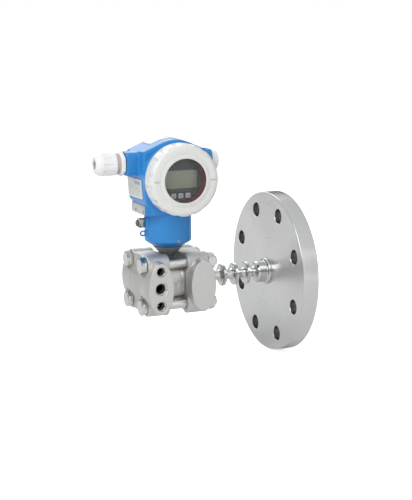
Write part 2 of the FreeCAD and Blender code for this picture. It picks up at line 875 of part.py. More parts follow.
def nameplate():
    """The large plate, lying flat on the tapered and leaning left side."""
    middle_z = (plate_top_z + plate_bottom_z) / 2
    seat = Vector(side_x(0, middle_z), 0, middle_z)
    back = Vector(side_x(1, middle_z) - seat.x, 1, 0).normalize()
    up = Vector(side_x(0, middle_z + 1) - seat.x, 0, 1).normalize()
    out = up.cross(back).normalize()
    height = plate_top_z - plate_bottom_z
    plate = rounded_box(Vector(0, -plate_front, -height / 2),
                        Vector(plate_t, plate_back, height / 2), X_AXIS, plate_corner)
    turn = FreeCAD.Rotation(out, back, out.cross(back), "ZXY")
    plate.Placement = FreeCAD.Placement(seat.add(out.multiply(plate_lift)), turn)
    return moved_to_cell(plate)


def tag_plate():
    plate = rounded_box(Vector(-tag_x - plate_t, -tag_front, tag_bottom_z),
                        Vector(-tag_x, tag_back, tag_top_z), X_AXIS, plate_corner)
    return moved_to_cell(plate)


def tag_screws():
    screws = []
    for y in tag_screw_ys:
        base = Vector(-tag_x - plate_t, y, tag_screw_z)
        head = turned([(0, 0), (0, rivet_r), (rivet_h / 2, rivet_r), (rivet_h, rivet_r * 0.5),
                       (rivet_h, 0)], base, X_AXIS.negative())
        screws.append(moved_to_cell(head))
    return group(screws)


def ground_block():
    """The clamp block of the outer ground terminal."""
    low = Vector(-ground_x, -ground_w / 2, ground_z - ground_h / 2)
    high = Vector(-ground_seat_x, ground_w / 2, ground_z + ground_h / 2)
    block = rounded_box(low, high, X_AXIS, 1.2)
    slot = box(Vector(-ground_x - 1, -ground_w, ground_z - ground_h / 2 + 1.4),
               Vector(-ground_x + 2.4, ground_w, ground_z - ground_h / 2 + 3.2))
    hole = rod(ground_screw_r / 2 + slip, ground_w, Vector(-ground_x - 1, 0, ground_z), X_AXIS)
    return moved_to_cell(block.cut([slot, hole]))


def ground_screw():
    base = Vector(-ground_x, 0, ground_z)
    head = rod(ground_screw_r, ground_screw_h, base, X_AXIS.negative())
    cross = []
    for half_y, half_z in ((0.5, 2.4), (2.4, 0.5)):
        cross.append(box(Vector(-ground_x - ground_screw_h - 1, -half_y, ground_z - half_z),
                         Vector(-ground_x - ground_screw_h + 1, half_y, ground_z + half_z)))
    shank = rod(ground_screw_r / 2, ground_x - ground_seat_x + 3, base, X_AXIS)
    return moved_to_cell(fuse_all([head.cut(cross), shank]))


# ------------------------------------------------------------------ gland and plug

def entry_base(side, out):
    return Vector(side * (entry_end(side) + out), 0, entry_z)


def gland_body():
    """Thread, hexagon and neck of the gland, bored through."""
    out = X_AXIS.negative()
    thread = rod(entry_bore_r - thread_play, entry_thread_len + gland_seal_t,
                 entry_base(-1, -entry_thread_len), out)
    flats = hexagon(gland_hex_af, gland_hex_t, entry_base(-1, gland_seal_t), out)
    corner = gland_hex_af / 2 / math.cos(math.radians(30))
    crown = turned([(0, 0), (0, corner - 1), (1, corner), (gland_hex_t - 1, corner),
                    (gland_hex_t, corner - 1), (gland_hex_t, 0)],
                   entry_base(-1, gland_seal_t), out)
    neck = rod(gland_neck_r, gland_neck_len, entry_base(-1, gland_seal_t + gland_hex_t), out)
    bore_len = entry_thread_len + gland_seal_t + gland_hex_t + gland_neck_len + 2
    bore = rod(gland_bore_r, bore_len, entry_base(-1, -entry_thread_len - 1), out)
    return moved_to_cell(fuse_all([thread, flats.common(crown), neck]).cut(bore))


def gland_washer():
    return moved_to_cell(tube(gland_hex_af / 2 - 0.5, entry_bore_r, gland_seal_t,
                              entry_base(-1, 0), X_AXIS.negative()))


def gland_ring():
    start = gland_seal_t + gland_hex_t
    return moved_to_cell(tube(gland_ring_r, gland_neck_r + slip, gland_ring_len,
                              entry_base(-1, start), X_AXIS.negative()))


def gland_nut():
    """The fluted dome nut."""
    start = gland_seal_t + gland_hex_t + gland_ring_len
    inner = gland_neck_r + slip
    neck_end = gland_hex_t + gland_seal_t + gland_neck_len + gap - start
    dome = nut_len * 0.62
    steps = [(0, inner), (0, nut_r - 0.6), (0.6, nut_r), (dome, nut_r),
             (nut_len - 2.2, nut_r - 1.8), (nut_len, nut_tip_r), (nut_len, nut_hole_r),
             (nut_len - 3, nut_hole_r), (neck_end, inner)]
    body = turned(steps, entry_base(-1, start), X_AXIS.negative())
    flutes = []
    for i in range(nut_flutes):
        turn = 2 * math.pi * i / nut_flutes
        reach = nut_r + nut_flute_r * 0.55
        base = entry_base(-1, start - 1).add(
            Vector(0, reach * math.cos(turn), reach * math.sin(turn)))
        flutes.append(rod(nut_flute_r, dome, base, X_AXIS.negative()))
    return moved_to_cell(body.cut(flutes))


def gland_insert():
    """The rubber sleeve that grips the cable."""
    start = gland_seal_t + gland_hex_t + gland_ring_len
    tip = start + nut_len
    root = entry_thread_len * 0.5
    steps = [(0, insert_hole_r), (0, gland_bore_r - slip),
             (tip - 6.5 - root, gland_bore_r - slip), (tip - 3.2 - root, nut_hole_r - slip),
             (tip - 0.8 - root, nut_hole_r - slip), (tip - 0.8 - root, insert_hole_r)]
    return moved_to_cell(turned(steps, entry_base(-1, root), X_AXIS.negative()))


def blanking_plug():
    """The closed plug of the right-hand cable entry, with a hexagon socket."""
    thread = rod(entry_bore_r - thread_play, entry_thread_len + blank_seal_t,
                 entry_base(1, -entry_thread_len), X_AXIS)
    head = turned([(0, 0), (0, blank_r), (blank_t - 1.5, blank_r), (blank_t, blank_r - 1.5),
                   (blank_t, 0)], entry_base(1, blank_seal_t), X_AXIS)
    socket = hexagon(10.0, 6.0, entry_base(1, blank_seal_t + blank_t - 5), X_AXIS)
    return moved_to_cell(fuse_all([thread, head]).cut(socket))


def blanking_seal():
    return moved_to_cell(tube(blank_r - 0.8, entry_bore_r, blank_seal_t,
                              entry_base(1, 0), X_AXIS))


# ------------------------------------------------------------------ inside the housing

def axis_point(front):
    """A point on the display axis, front millimetres towards the display side."""
    return Vector(0, -front, axis_z)


def electronics_insert():
    """The potted cup that fills the housing behind the display."""
    length = cavity_back + insert_front
    radius = cavity_r - insert_play
    body = turned([(0, 0), (0, radius - 1.5), (1.5, radius), (length - 1, radius),
                   (length, radius - 1), (length, 0)], Vector(0, cavity_back, axis_z),
                  Y_AXIS.negative())
    lead_room = rod(lead_r + 1, 6, Vector(0, 0, axis_z - radius - 1), Z_AXIS)
    gland_room = rod(entry_bore_r + 0.5, 2 * cavity_r, Vector(-cavity_r, 0, entry_z), X_AXIS)
    middle = box(Vector(-cavity_r + wire_room_len, -entry_half, entry_z - entry_half),
                 Vector(cavity_r - wire_room_len, entry_half, entry_z + entry_half))
    return moved_to_cell(body.cut([lead_room, gland_room.cut(middle)]))


def terminal_block():
    """The wire terminals on the front of the potted cup."""
    low = Vector(-terminal_w / 2, -insert_front - terminal_t, terminal_z - terminal_h / 2)
    high = Vector(terminal_w / 2, -insert_front, terminal_z + terminal_h / 2)
    body = rounded_box(low, high, Y_AXIS, 1.0)
    pitch = terminal_w / terminal_ways
    cuts = []
    for i in range(terminal_ways):
        x = (i - (terminal_ways - 1) / 2) * pitch
        cuts.append(rod(pitch * 0.3, 4, Vector(x, low.y - 1, terminal_z + 0.8), Y_AXIS))
    return moved_to_cell(body.cut(cuts))


def display_key_places():
    for i in (-1, 0, 1):
        yield Vector(i * key_pitch, 0, axis_z - key_drop)


def display_body():
    """The round display unit: bezel, recess for the panel, key holes and four legs."""
    depth = display_face - display_back
    body = turned([(0, 0), (0, display_r), (depth - 1.2, display_r), (depth, display_r - 1.2),
                   (depth, 0)], axis_point(display_back), Y_AXIS.negative())
    half_w = lcd_w / 2 + lcd_border
    half_h = lcd_h / 2 + lcd_border
    cuts = [box(Vector(-half_w, -display_face - 1, axis_z - half_h),
                Vector(half_w, -display_face + lcd_sink + lcd_t, axis_z + half_h))]
    key_room = key_t - key_proud + key_travel + key_play
    for at in display_key_places():
        cuts.append(box(Vector(at.x - key_w / 2 - key_play, -display_face - 1,
                               at.z - key_h / 2 - key_play),
                        Vector(at.x + key_w / 2 + key_play, -display_face + key_room,
                               at.z + key_h / 2 + key_play)))
    legs = []
    for i in range(4):
        turn = math.radians(45 + 90 * i)
        base = Vector(leg_place * math.cos(turn), -display_back,
                      axis_z + leg_place * math.sin(turn))
        legs.append(rod(leg_r, display_back - insert_front, base, Y_AXIS))
    return moved_to_cell(fuse_all([body.cut(cuts)] + legs))


def lcd_panel():
    half_w = lcd_w / 2 + lcd_border - slip
    half_h = lcd_h / 2 + lcd_border - slip
    back = -display_face + lcd_sink + lcd_t
    panel = rounded_box(Vector(-half_w, back - lcd_t, axis_z - half_h),
                        Vector(half_w, back, axis_z + half_h), Y_AXIS, 0.6)
    return moved_to_cell(panel)


def display_key(at):
    front = -display_face - key_proud
    key = rounded_box(Vector(at.x - key_w / 2, front, at.z - key_h / 2),
                      Vector(at.x + key_w / 2, front + key_t, at.z + key_h / 2), Y_AXIS, 0.8)
    return moved_to_cell(key)


# ------------------------------------------------------------------ screw cover

def display_cover():
    """The cover ring: threaded skirt, sixteen grips, sloping face and a rim round the window."""
    lip_back = cover_front - window_lip
    rim_out = window_r + window_rim_w
    retainer_seat = lip_back - glass_t
    groove_r = skirt_r - 2 * cover_seal_section_r
    groove_start = cover_rear - cover_groove_back
    steps = [
        (cover_rear - skirt_len, skirt_r - skirt_wall), (cover_rear - skirt_len, skirt_r),
        (groove_start, skirt_r), (groove_start, groove_r),
        (groove_start + cover_groove_w, groove_r), (groove_start + cover_groove_w, skirt_r),
        (cover_rear, skirt_r), (cover_rear, cover_r - 0.8), (cover_rear + 0.8, cover_r),
        (cover_bevel_y, cover_r), (cover_shoulder_y, cover_shoulder_r),
        (cover_front - window_rim_h, cover_bevel_r), (cover_front - window_rim_h, rim_out),
        (cover_front, rim_out - window_rim_h), (cover_front, window_r), (lip_back, window_r),
        (lip_back, glass_r + slip),
        (retainer_seat, glass_r + slip), (retainer_seat, retainer_r + slip),
        (cover_cavity_front, retainer_r + slip), (cover_cavity_front, cover_cavity_r - 1.5),
        (cover_cavity_front - 1.5, cover_cavity_r), (cover_rear, cover_cavity_r)]
    ring = turned(steps, Vector(0, 0, axis_z), Y_AXIS.negative())
    grips = []
    for i in range(grip_count):
        turn = 2 * math.pi * (i + 0.5) / grip_count
        reach = cover_r + grip_r - grip_depth
        base = Vector(reach * math.cos(turn), -cover_rear - 2.2,
                      axis_z + reach * math.sin(turn))
        grips.append(rod(grip_r, cover_front, base, Y_AXIS.negative()))
    return moved_to_cell(ring.cut(grips))


def cover_seal():
    section = cover_seal_section_r
    middle = cover_rear - cover_groove_back + cover_groove_w / 2
    return moved_to_cell(seal_ring(skirt_r - section, section, axis_point(middle),
                                   Y_AXIS.negative()))


def cover_glass():
    back = cover_front - window_lip - glass_t
    return moved_to_cell(rod(glass_r, glass_t, axis_point(back), Y_AXIS.negative()))


def glass_retainer():
    front = cover_front - window_lip - glass_t
    return moved_to_cell(turned([
        (0, window_r + 0.5), (0, retainer_r), (retainer_t, retainer_r), (retainer_t, window_r),
        (0.5, window_r)], axis_point(front - retainer_t), Y_AXIS.negative()))


# ------------------------------------------------------------------ key flap and outer keys

def key_flap():
    """The curved flap over the outer keys, with the barrel of its hinge."""
    pin = flap_pin_place()
    plate = roof_strip(-flap_under, flap_over, -flap_left, flap_pin_x, flap_front, flap_back)
    start = Vector(pin.x, -flap_front, pin.z)
    width = flap_front + flap_back
    barrel = rod(flap_barrel_r, width, start, Y_AXIS)
    hole = rod(flap_pin_r + slip, width, start, Y_AXIS)
    return moved_to_cell(fuse_all([plate, barrel]).cut(hole))


def flap_pin():
    pin = flap_pin_place()
    reach = flap_front + gap + flap_pin_seat
    length = flap_front + flap_back + 2 * gap + 2 * flap_pin_seat
    return moved_to_cell(rod(flap_pin_r, length, Vector(pin.x, -reach, pin.z), Y_AXIS))


def outer_key(turn):
    top = roof_r - outer_key_top
    base = Vector(0, flap_mid_y(), axis_z).add(outer_key_axis(turn).multiply(top - outer_key_len))
    key = turned([(0, 0), (0, outer_key_r), (outer_key_len - 0.5, outer_key_r),
                  (outer_key_len, outer_key_r - 0.5), (outer_key_len, 0)],
                 base, outer_key_axis(turn))
    return moved_to_cell(key)


# ------------------------------------------------------------------ the nodes

nodes = {
    "process_flange": process_flange(),
    "process_diaphragm": process_diaphragm(),
    "isolator_neck": isolator_neck(),
    "capillary_tube": capillary_tube(),
    "plus_side_flange": side_block(False),
    "minus_side_flange": side_block(True),
    "plus_gasket": gasket(1),
    "minus_gasket": gasket(-1),
    "sensor_cell": sensor_cell(),
    "plus_diaphragm": cell_diaphragm(1),
    "minus_diaphragm": cell_diaphragm(-1),
    "sensor_element": sensor_element(),
    "fill_plug": fill_plug(),
    "tie_bolts": tie_bolts(),
    "tie_nuts": tie_nuts(),
    "minus_vent_plug": minus_vent_plug(),
    "cell_nipple": cell_nipple(),
    "neck_cone": neck_cone(),
    "neck_seal": neck_seal(),
    "sensor_lead": sensor_lead(),
    "housing_shell": housing_shell(),
    "nameplate": nameplate(),
    "tag_plate": tag_plate(),
    "tag_screws": tag_screws(),
    "ground_block": ground_block(),
    "ground_screw": ground_screw(),
    "housing_lock_screw": housing_lock_screw(),
    "gland_body": gland_body(),
    "gland_washer": gland_washer(),
    "gland_ring": gland_ring(),
    "gland_nut": gland_nut(),
    "gland_insert": gland_insert(),
    "blanking_plug": blanking_plug(),
    "blanking_seal": blanking_seal(),
    "electronics_insert": electronics_insert(),
    "terminal_block": terminal_block(),
    "display_body": display_body(),
    "lcd_panel": lcd_panel(),
    "flap_pin": flap_pin(),
    "display_cover": display_cover(),
    "cover_seal": cover_seal(),
    "cover_glass": cover_glass(),
    "glass_retainer": glass_retainer(),
    "key_flap": key_flap(),
}
for number, place_of_key in enumerate(display_key_places(), start=1):
    nodes[f"display_key_{number}"] = display_key(place_of_key)
for number, key_turn in enumerate(outer_key_turns(), start=1):
    nodes[f"outer_key_{number}"] = outer_key(key_turn)

for name, shape in nodes.items():
    shape.exportStep(f"parts/{name}.step")
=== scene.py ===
import math

import bmesh
import bpy
from mathutils import Matrix, Vector


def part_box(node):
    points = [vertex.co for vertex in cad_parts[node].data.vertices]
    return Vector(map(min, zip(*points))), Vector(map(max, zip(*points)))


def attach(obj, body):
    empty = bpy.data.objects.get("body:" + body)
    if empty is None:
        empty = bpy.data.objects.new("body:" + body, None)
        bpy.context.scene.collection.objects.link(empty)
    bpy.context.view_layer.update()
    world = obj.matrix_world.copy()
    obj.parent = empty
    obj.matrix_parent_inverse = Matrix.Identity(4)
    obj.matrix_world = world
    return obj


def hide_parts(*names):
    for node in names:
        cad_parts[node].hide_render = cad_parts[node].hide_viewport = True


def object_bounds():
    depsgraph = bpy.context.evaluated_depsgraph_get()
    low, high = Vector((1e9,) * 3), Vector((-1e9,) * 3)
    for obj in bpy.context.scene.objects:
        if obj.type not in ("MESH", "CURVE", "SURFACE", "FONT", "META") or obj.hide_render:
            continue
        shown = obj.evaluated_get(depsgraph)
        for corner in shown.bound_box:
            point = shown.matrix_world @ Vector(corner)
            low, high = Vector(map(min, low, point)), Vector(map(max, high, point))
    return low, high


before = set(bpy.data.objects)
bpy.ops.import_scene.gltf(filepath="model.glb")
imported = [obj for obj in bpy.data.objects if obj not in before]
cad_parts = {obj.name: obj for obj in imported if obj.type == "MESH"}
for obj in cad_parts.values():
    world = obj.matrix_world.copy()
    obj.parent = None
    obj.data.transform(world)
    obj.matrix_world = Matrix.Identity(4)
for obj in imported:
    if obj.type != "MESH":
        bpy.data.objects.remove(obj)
CAD_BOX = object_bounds()

bl_info = {
    "name": "Differential pressure transmitter",
    "version": (1, 0, 0),
    "blender": (4, 5, 0),
    "location": "3D View > Sidebar > Transmitter",
    "description": "Dresses the transmitter's packed frame with finished pieces",
    "category": "Object",
}

ORIGIN = Vector((0, 0, 0))
X_AXIS = Vector((1, 0, 0))
Y_AXIS = Vector((0, 1, 0))
Z_AXIS = Vector((0, 0, 1))
SMALL_FLATS = 0.014  # across the rear plug's and the nipple's hexagons
HEX_SLOPE = 0.62  # how steeply a hexagon's corners are turned off
OVERCUT = 0.001  # how far a drill runs past the face it opens


def middle(node):
    low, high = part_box(node)
    return (low + high) / 2


def span(node):
    low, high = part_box(node)
    return high - low


CELL_AT = middle("sensor_cell")
AXIS_Z = middle("display_body").z
DISPLAY_AT = Vector((CELL_AT.x, 0, AXIS_Z))


# ------------------------------------------------------------------ node maths


def arithmetic(operation, turned=False):
    """A method that adds one maths node; turned puts its own value last."""
    def method(self, *others):
        values = (*others, self) if turned else (self, *others)
        return self.graph.node("ShaderNodeMath", {"operation": operation},
                               dict(enumerate(values)))
    return method


class Value:
    """A node socket that takes part in plain arithmetic."""

    def __init__(self, graph, socket):
        self.graph = graph
        self.socket = socket

    __add__ = arithmetic("ADD")
    __radd__ = arithmetic("ADD", True)
    __sub__ = arithmetic("SUBTRACT")
    __rsub__ = arithmetic("SUBTRACT", True)
    __mul__ = arithmetic("MULTIPLY")
    __rmul__ = arithmetic("MULTIPLY", True)
    __truediv__ = arithmetic("DIVIDE")
    __rtruediv__ = arithmetic("DIVIDE", True)
    __mod__ = arithmetic("FLOORED_MODULO")
    above = arithmetic("GREATER_THAN")
    below = arithmetic("LESS_THAN")
    size = arithmetic("ABSOLUTE")
    most = arithmetic("MAXIMUM")
    angle = arithmetic("ARCTAN2")
    sine = arithmetic("SINE")
    cosine = arithmetic("COSINE")
    part = arithmetic("FRACT")
    root = arithmetic("SQRT")

    def ramp(self, low, high):
        """Rises smoothly from 0 at low to 1 at high."""
        settings = {"interpolation_type": "SMOOTHSTEP"}
        sockets = {"Value": self, "From Min": low, "From Max": high}
        return self.graph.node("ShaderNodeMapRange", settings, sockets)


class Graph:
    """A node tree that takes each node with its settings and sockets in one call."""

    def __init__(self, tree):
        self.tree = tree

    def node(self, kind, settings, sockets, result=0):
        """Adds a node: its settings first, then its sockets, and gives the named result."""
        made = self.tree.nodes.new(kind)
        for key, setting in settings.items():
            setattr(made, key, setting)
        for key, value in sockets.items():
            if isinstance(value, Value):
                self.tree.links.new(value.socket, made.inputs[key])
            else:
                made.inputs[key].default_value = value
        return made if result is None else Value(self, made.outputs[result])

    def split(self, vector):
        parts = self.node("ShaderNodeSeparateXYZ", {}, {"Vector": vector}, None)
        return [Value(self, parts.outputs[axis]) for axis in "XYZ"]

    def vector(self, x, y, z):
        return self.node("ShaderNodeCombineXYZ", {}, {"X": x, "Y": y, "Z": z})


class Finish(Graph):
    """A procedural material that ends in one Principled shader."""

    def __init__(self, name, **constants):
        self.material = bpy.data.materials.new(name)
        self.material.use_nodes = True
        super().__init__(self.material.node_tree)
        self.tree.nodes.clear()
        self.shader = self.tree.nodes.new("ShaderNodeBsdfPrincipled")
        output = self.tree.nodes.new("ShaderNodeOutputMaterial")
        self.tree.links.new(self.shader.outputs["BSDF"], output.inputs["Surface"])
        for socket, value in constants.items():
            self.shader.inputs[socket.replace("_", " ")].default_value = value
        self.place = self.node("ShaderNodeTexCoord", {}, {}, "Object")
        self.x, self.y, self.z = self.split(self.place)

    def noise(self, scale, detail=2.0, vector=None, roughness=0.5):
        sockets = {"Vector": vector or self.place, "Scale": scale, "Detail": detail,
                   "Roughness": roughness}
        return self.node("ShaderNodeTexNoise", {}, sockets, "Fac")

    def cells(self, scale):
        sockets = {"Vector": self.place, "Scale": scale}
        return self.node("ShaderNodeTexVoronoi", {}, sockets, "Distance")

    def mix(self, factor, first, second):
        """Blends two colours."""
        return self.node("ShaderNodeMix", {"data_type": "RGBA"},
                         {0: factor, 6: first, 7: second}, 2)

    def varied(self, factor, colour, low, high):
        """A colour that drifts between two of its own strengths."""
        return self.mix(factor, scaled(colour, low), scaled(colour, high))

    def along(self, axis, node):
        """How far a point lies along one axis of a node's box, from 0 to 1."""
        low, high = (getattr(corner, axis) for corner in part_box(node))
        return (getattr(self, axis) - low) / (high - low)

    def bump(self, height, distance):
        """Feeds a height in metres times distance to the shader's normal."""
        sockets = {"Height": height, "Distance": distance, "Strength": 1.0}
        self.feed("Normal", self.node("ShaderNodeBump", {}, sockets, "Normal"))

    def feed(self, socket, value):
        self.tree.links.new(value.socket, self.shader.inputs[socket])


def shade(red, green, blue):
    """A colour written as it looks on a screen, turned to the renderer's linear values."""
    linear = []
    for part in (red, green, blue):
        part = part / 255
        linear.append(part / 12.92 if part <= 0.04045 else ((part + 0.055) / 1.055) ** 2.4)
    return (*linear, 1.0)


def scaled(colour, factor):
    return (*(min(1.0, part * factor) for part in colour[:3]), 1.0)


# ------------------------------------------------------------------ finishes


def cast_paint(name, colour, roughness, coat, grain):
    """Powder paint on a casting: faint orange peel, patches and rubbed edges."""
    finish = Finish(name, Metallic=0.0, Coat_Weight=coat, Coat_Roughness=0.12,
                    Specular_IOR_Level=0.3)
    peel = finish.noise(520, 3)
    patch = finish.noise(26, 2)
    fine = finish.noise(1500, 1)
    tone = finish.varied((patch * 0.5 + fine * 0.5).ramp(0.3, 0.75), colour, 0.95, 1.05)
    worn = finish.node("ShaderNodeNewGeometry", {}, {}, "Pointiness").ramp(0.53, 0.6)
    rubbed = worn * finish.noise(90, 3).ramp(0.42, 0.62) * 0.55
    finish.feed("Base Color", finish.mix(rubbed, tone, scaled(colour, 1.35)))
    finish.feed("Roughness", roughness + (patch - 0.5) * 0.1 + rubbed * 0.15)
    finish.bump(peel * 0.8 + fine * 0.2, grain)
    return finish.material


def turned_metal(name, colour, roughness, pitch, depth, axis="X", metallic=1.0, bore_shade=None,
                 shaded=None):
    """Metal cut on a lathe: fine rings round an axis, with painted shade that can darken the bolt
    holes' walls or a band by height from the axis.
    """
    finish = Finish(name, Metallic=metallic)
    along, side, up = finish.x, finish.y, finish.z
    if axis == "Y":
        along, side, up = finish.y, finish.x - CELL_AT.x, finish.z - AXIS_Z
    radius = (side * side + up * up).root()
    rings = finish.noise(1 / pitch, 3, finish.vector(radius, along, 0.0), 0.7)
    wide = finish.noise(0.12 / pitch, 2, finish.vector(radius, along, 0.3))
    cloud = finish.noise(35, 3)
    tone = finish.varied((rings * 0.7 + wide * 0.3).ramp(0.3, 0.7), colour, 0.94, 1.03)
    tone = finish.mix((cloud - 0.4) * 0.36, tone, scaled(colour, 0.86))
    if bore_shade:
        count, circle, hole = bore_shade
        turn = up.angle(side) * (count / math.tau) + count
        aside = (turn.part() - 0.5) * (math.tau / count) * circle
        away = (aside * aside + (radius - circle) * (radius - circle)).root()
        # painted shade: the walls of the bolt holes are darkened as if in shadow
        tone = finish.mix(away.below(hole) * 0.5, tone, shade(50, 50, 50))
    if shaded:
        # painted shade: a band by height from the axis is darkened where the tie bolts shade the
        # drum
        tone = finish.mix(finish.z.size().ramp(*shaded) * 0.85, tone, shade(52, 52, 52))
    finish.feed("Base Color", tone)
    finish.feed("Roughness", roughness + (wide - 0.5) * 0.16 + (cloud - 0.5) * 0.08)
    finish.bump(rings, depth)
    return finish.material


def down_the_ports(finish, ports, reach):
    """Rises from 0 at the ports' mouths, at reach each way, to 1 where no light gets in."""
    inside = 0.0
    for x, z, radius in ports:
        off = (finish.x - x) * (finish.x - x) + (finish.z - z) * (finish.z - z)
        inside = off.below(radius * radius) + inside
    return inside * (reach - finish.y.size()).ramp(0.004, 0.016)


def forged_metal(name, colour, roughness, ports, reach):
    """Stainless casting: blasted skin on the raw walls, cut marks on the machined faces, and
    painted shade darkening the ports' walls from the mouths inward.
    """
    finish = Finish(name, Metallic=0.9)
    cut = finish.y.size().above(span("minus_side_flange").y / 2 - 0.0004)
    skin = finish.noise(620, 4, roughness=0.6)
    dents = finish.cells(420)
    stroke = finish.noise(1, 2, finish.vector(finish.x * 2600, finish.z * 60, 0.0))
    cloud = finish.noise(42, 3)
    raw = finish.varied(cloud.ramp(0.35, 0.7), colour, 0.92, 1.04)
    machined = finish.varied(stroke.ramp(0.35, 0.7), colour, 1.02, 1.12)
    tone = finish.mix(cut, raw, machined)
    deep = down_the_ports(finish, ports, reach)
    # painted shade: the ports' walls turn near black away from their mouths
    finish.feed("Base Color", finish.mix(deep, tone, shade(20, 20, 20)))
    finish.feed("Roughness", roughness + (skin - 0.5) * 0.18 - cut * 0.06 + cloud * 0.06)
    height = (skin * 0.7 + dents * 0.3) * (1 - cut) + stroke * cut * 0.25
    finish.bump(height, 0.00035)
    return finish.material


def bright_metal(name, colour, roughness, contact_shade_at=()):
    """Plated fasteners: small drifts in gloss, fine scratches and painted shade in thin dark bands
    at given X, where heads and nuts seat.
    """
    finish = Finish(name, Metallic=1.0)
    cloud = finish.noise(160, 3)
    lines = finish.noise(1, 3, finish.vector(finish.x * 300, finish.y * 1800, finish.z * 300))
    tone = finish.varied(cloud.ramp(0.3, 0.75), colour, 0.9, 1.0)
    for seam in contact_shade_at:
        close = (finish.x - seam).size().below(0.0008)
        # painted shade: a thin dark band where a head or nut seats on the block
        tone = finish.mix(close * 0.8, tone, shade(46, 46, 46))
    finish.feed("Base Color", tone)
    finish.feed("Roughness", roughness + (cloud - 0.5) * 0.14 + (lines - 0.5) * 0.08)
    finish.bump(lines * 0.6 + cloud * 0.4, 0.00002)
    return finish.material


def cut_thread(name, colour, ports, reach):
    """Bright cut flanks with painted shade that fades them to black down the port."""
    finish = Finish(name, Metallic=1.0)
    deep = down_the_ports(finish, ports, reach)
    # painted shade: darker the further down the port
    finish.feed("Base Color", finish.mix(deep, colour, shade(16, 16, 16)))
    finish.feed("Roughness", 0.22 + finish.noise(400, 2) * 0.12)
    return finish.material


def moulded_plastic(name, colour, roughness, grain=0.00004, coat=0.0, spot=0.05):
    """Injection-moulded plastic with a fine spark-eroded grain."""
    finish = Finish(name, Metallic=0.0, Coat_Weight=coat, Coat_Roughness=0.1)
    fine = finish.noise(1300, 2)
    cloud = finish.noise(48, 2)
    finish.feed("Base Color", finish.varied(cloud.ramp(0.3, 0.7), colour, 1 - spot, 1 + spot))
    finish.feed("Roughness", roughness + (fine - 0.5) * 0.12 + (cloud - 0.5) * 0.08)
    finish.bump(fine, grain)
    return finish.material


def rubber(name, colour):
    finish = Finish(name, Metallic=0.0, Sheen_Weight=0.15)
    fine = finish.noise(900, 3)
    finish.feed("Base Color", finish.varied(fine.ramp(0.3, 0.7), colour, 1.0, 1.7))
    finish.feed("Roughness", 0.62 + (fine - 0.5) * 0.2)
    finish.bump(fine, 0.00004)
    return finish.material


def clear_glass(name):
    """A window pane: nearly clear, with a thin drift of dust in its gloss."""
    finish = Finish(name, Metallic=0.0, Roughness=0.03, IOR=1.5, Alpha=0.035)
    finish.feed("Base Color", finish.mix(finish.noise(60, 2), shade(214, 226, 230),
                                         shade(236, 242, 244)))
    finish.feed("Roughness", 0.02 + finish.noise(130, 3) * 0.04)
    return finish.material


# ------------------------------------------------------------------ mesh tools


def put(at, axis, local=Z_AXIS):
    """The place that moves a form drawn at the origin to a point and turns it to an axis."""
    turn = local.rotation_difference(axis).to_matrix().to_4x4()
    return Matrix.Translation(at) @ turn


def new_object(name, data):
    made = bpy.data.objects.new(name, data)
    bpy.context.scene.collection.objects.link(made)
    return made


def closed_mesh(name, shape):
    """Turns a bmesh into a mesh whose faces all look outwards."""
    bmesh.ops.remove_doubles(shape, verts=shape.verts, dist=1e-6)
    bmesh.ops.recalc_face_normals(shape, faces=shape.faces)
    mesh = bpy.data.meshes.new(name)
    shape.to_mesh(mesh)
    shape.free()
    return mesh


def eased(points, radius, steps=3):
    """A closed outline in (station, radius) pairs with its off-axis corners rounded."""
    out = []
    count = len(points)
    for i, pair in enumerate(points):
        here = Vector(pair)
        before = Vector(points[i - 1]) - here
        after = Vector(points[(i + 1) % count]) - here
        reach = min(radius, before.length * 0.45, after.length * 0.45)
        flat = abs(before.normalized().dot(after.normalized())) > 0.995
        if here.y < 1e-7 or reach < 1e-6 or flat:
            out.append(here)
            continue
        start = here + before.normalized() * reach
        end = here + after.normalized() * reach
        for k in range(steps + 1):
            t = k / steps
            out.append((1 - t) ** 2 * start + 2 * t * (1 - t) * here + t * t * end)
    return out


def spun(name, points, base, axis, segments=128):
    """Turns a closed outline of (station along the axis, radius) pairs into a solid."""
    shape = bmesh.new()
    rings = []
    for station, radius in points:
        if radius < 1e-7:
            rings.append([shape.verts.new((0, 0, station))])
            continue
        ring = []
        for k in range(segments):
            turn = math.tau * k / segments
            place = (radius * math.cos(turn), radius * math.sin(turn), station)
            ring.append(shape.verts.new(place))
        rings.append(ring)
    for i, ring in enumerate(rings):
        following = rings[(i + 1) % len(rings)]
        if len(ring) == 1 and len(following) == 1:
            continue
        for k in range(segments):
            corners = [ring[k % len(ring)], ring[(k + 1) % len(ring)],
                       following[(k + 1) % len(following)], following[k % len(following)]]
            unique = list(dict.fromkeys(corners))
            if len(unique) > 2:
                shape.faces.new(unique)
    mesh = closed_mesh(name, shape)
    mesh.transform(put(base, axis))
    return new_object(name, mesh)


def extruded(name, outline, thickness, place):
    """A flat closed outline given a thickness along its local Z."""
    shape = bmesh.new()
    low = [shape.verts.new((x, y, 0)) for x, y in outline]
    high = [shape.verts.new((x, y, thickness)) for x, y in outline]
    shape.faces.new(low)
    shape.faces.new(high)
    for i in range(len(outline)):
        j = (i + 1) % len(outline)
        shape.faces.new((low[i], low[j], high[j], high[i]))
    mesh = closed_mesh(name, shape)
    mesh.transform(place)
    return new_object(name, mesh)


def rounded_outline(width, height, radius, steps=6):
    points = []
    for quarter in range(4):
        sign_x = 1 if quarter in (0, 3) else -1
        sign_y = 1 if quarter in (0, 1) else -1
        for k in range(steps + 1):
            turn = math.radians(90 * quarter + 90 * k / steps)
            points.append((sign_x * (width / 2 - radius) + radius * math.cos(turn),
                           sign_y * (height / 2 - radius) + radius * math.sin(turn)))
    return points


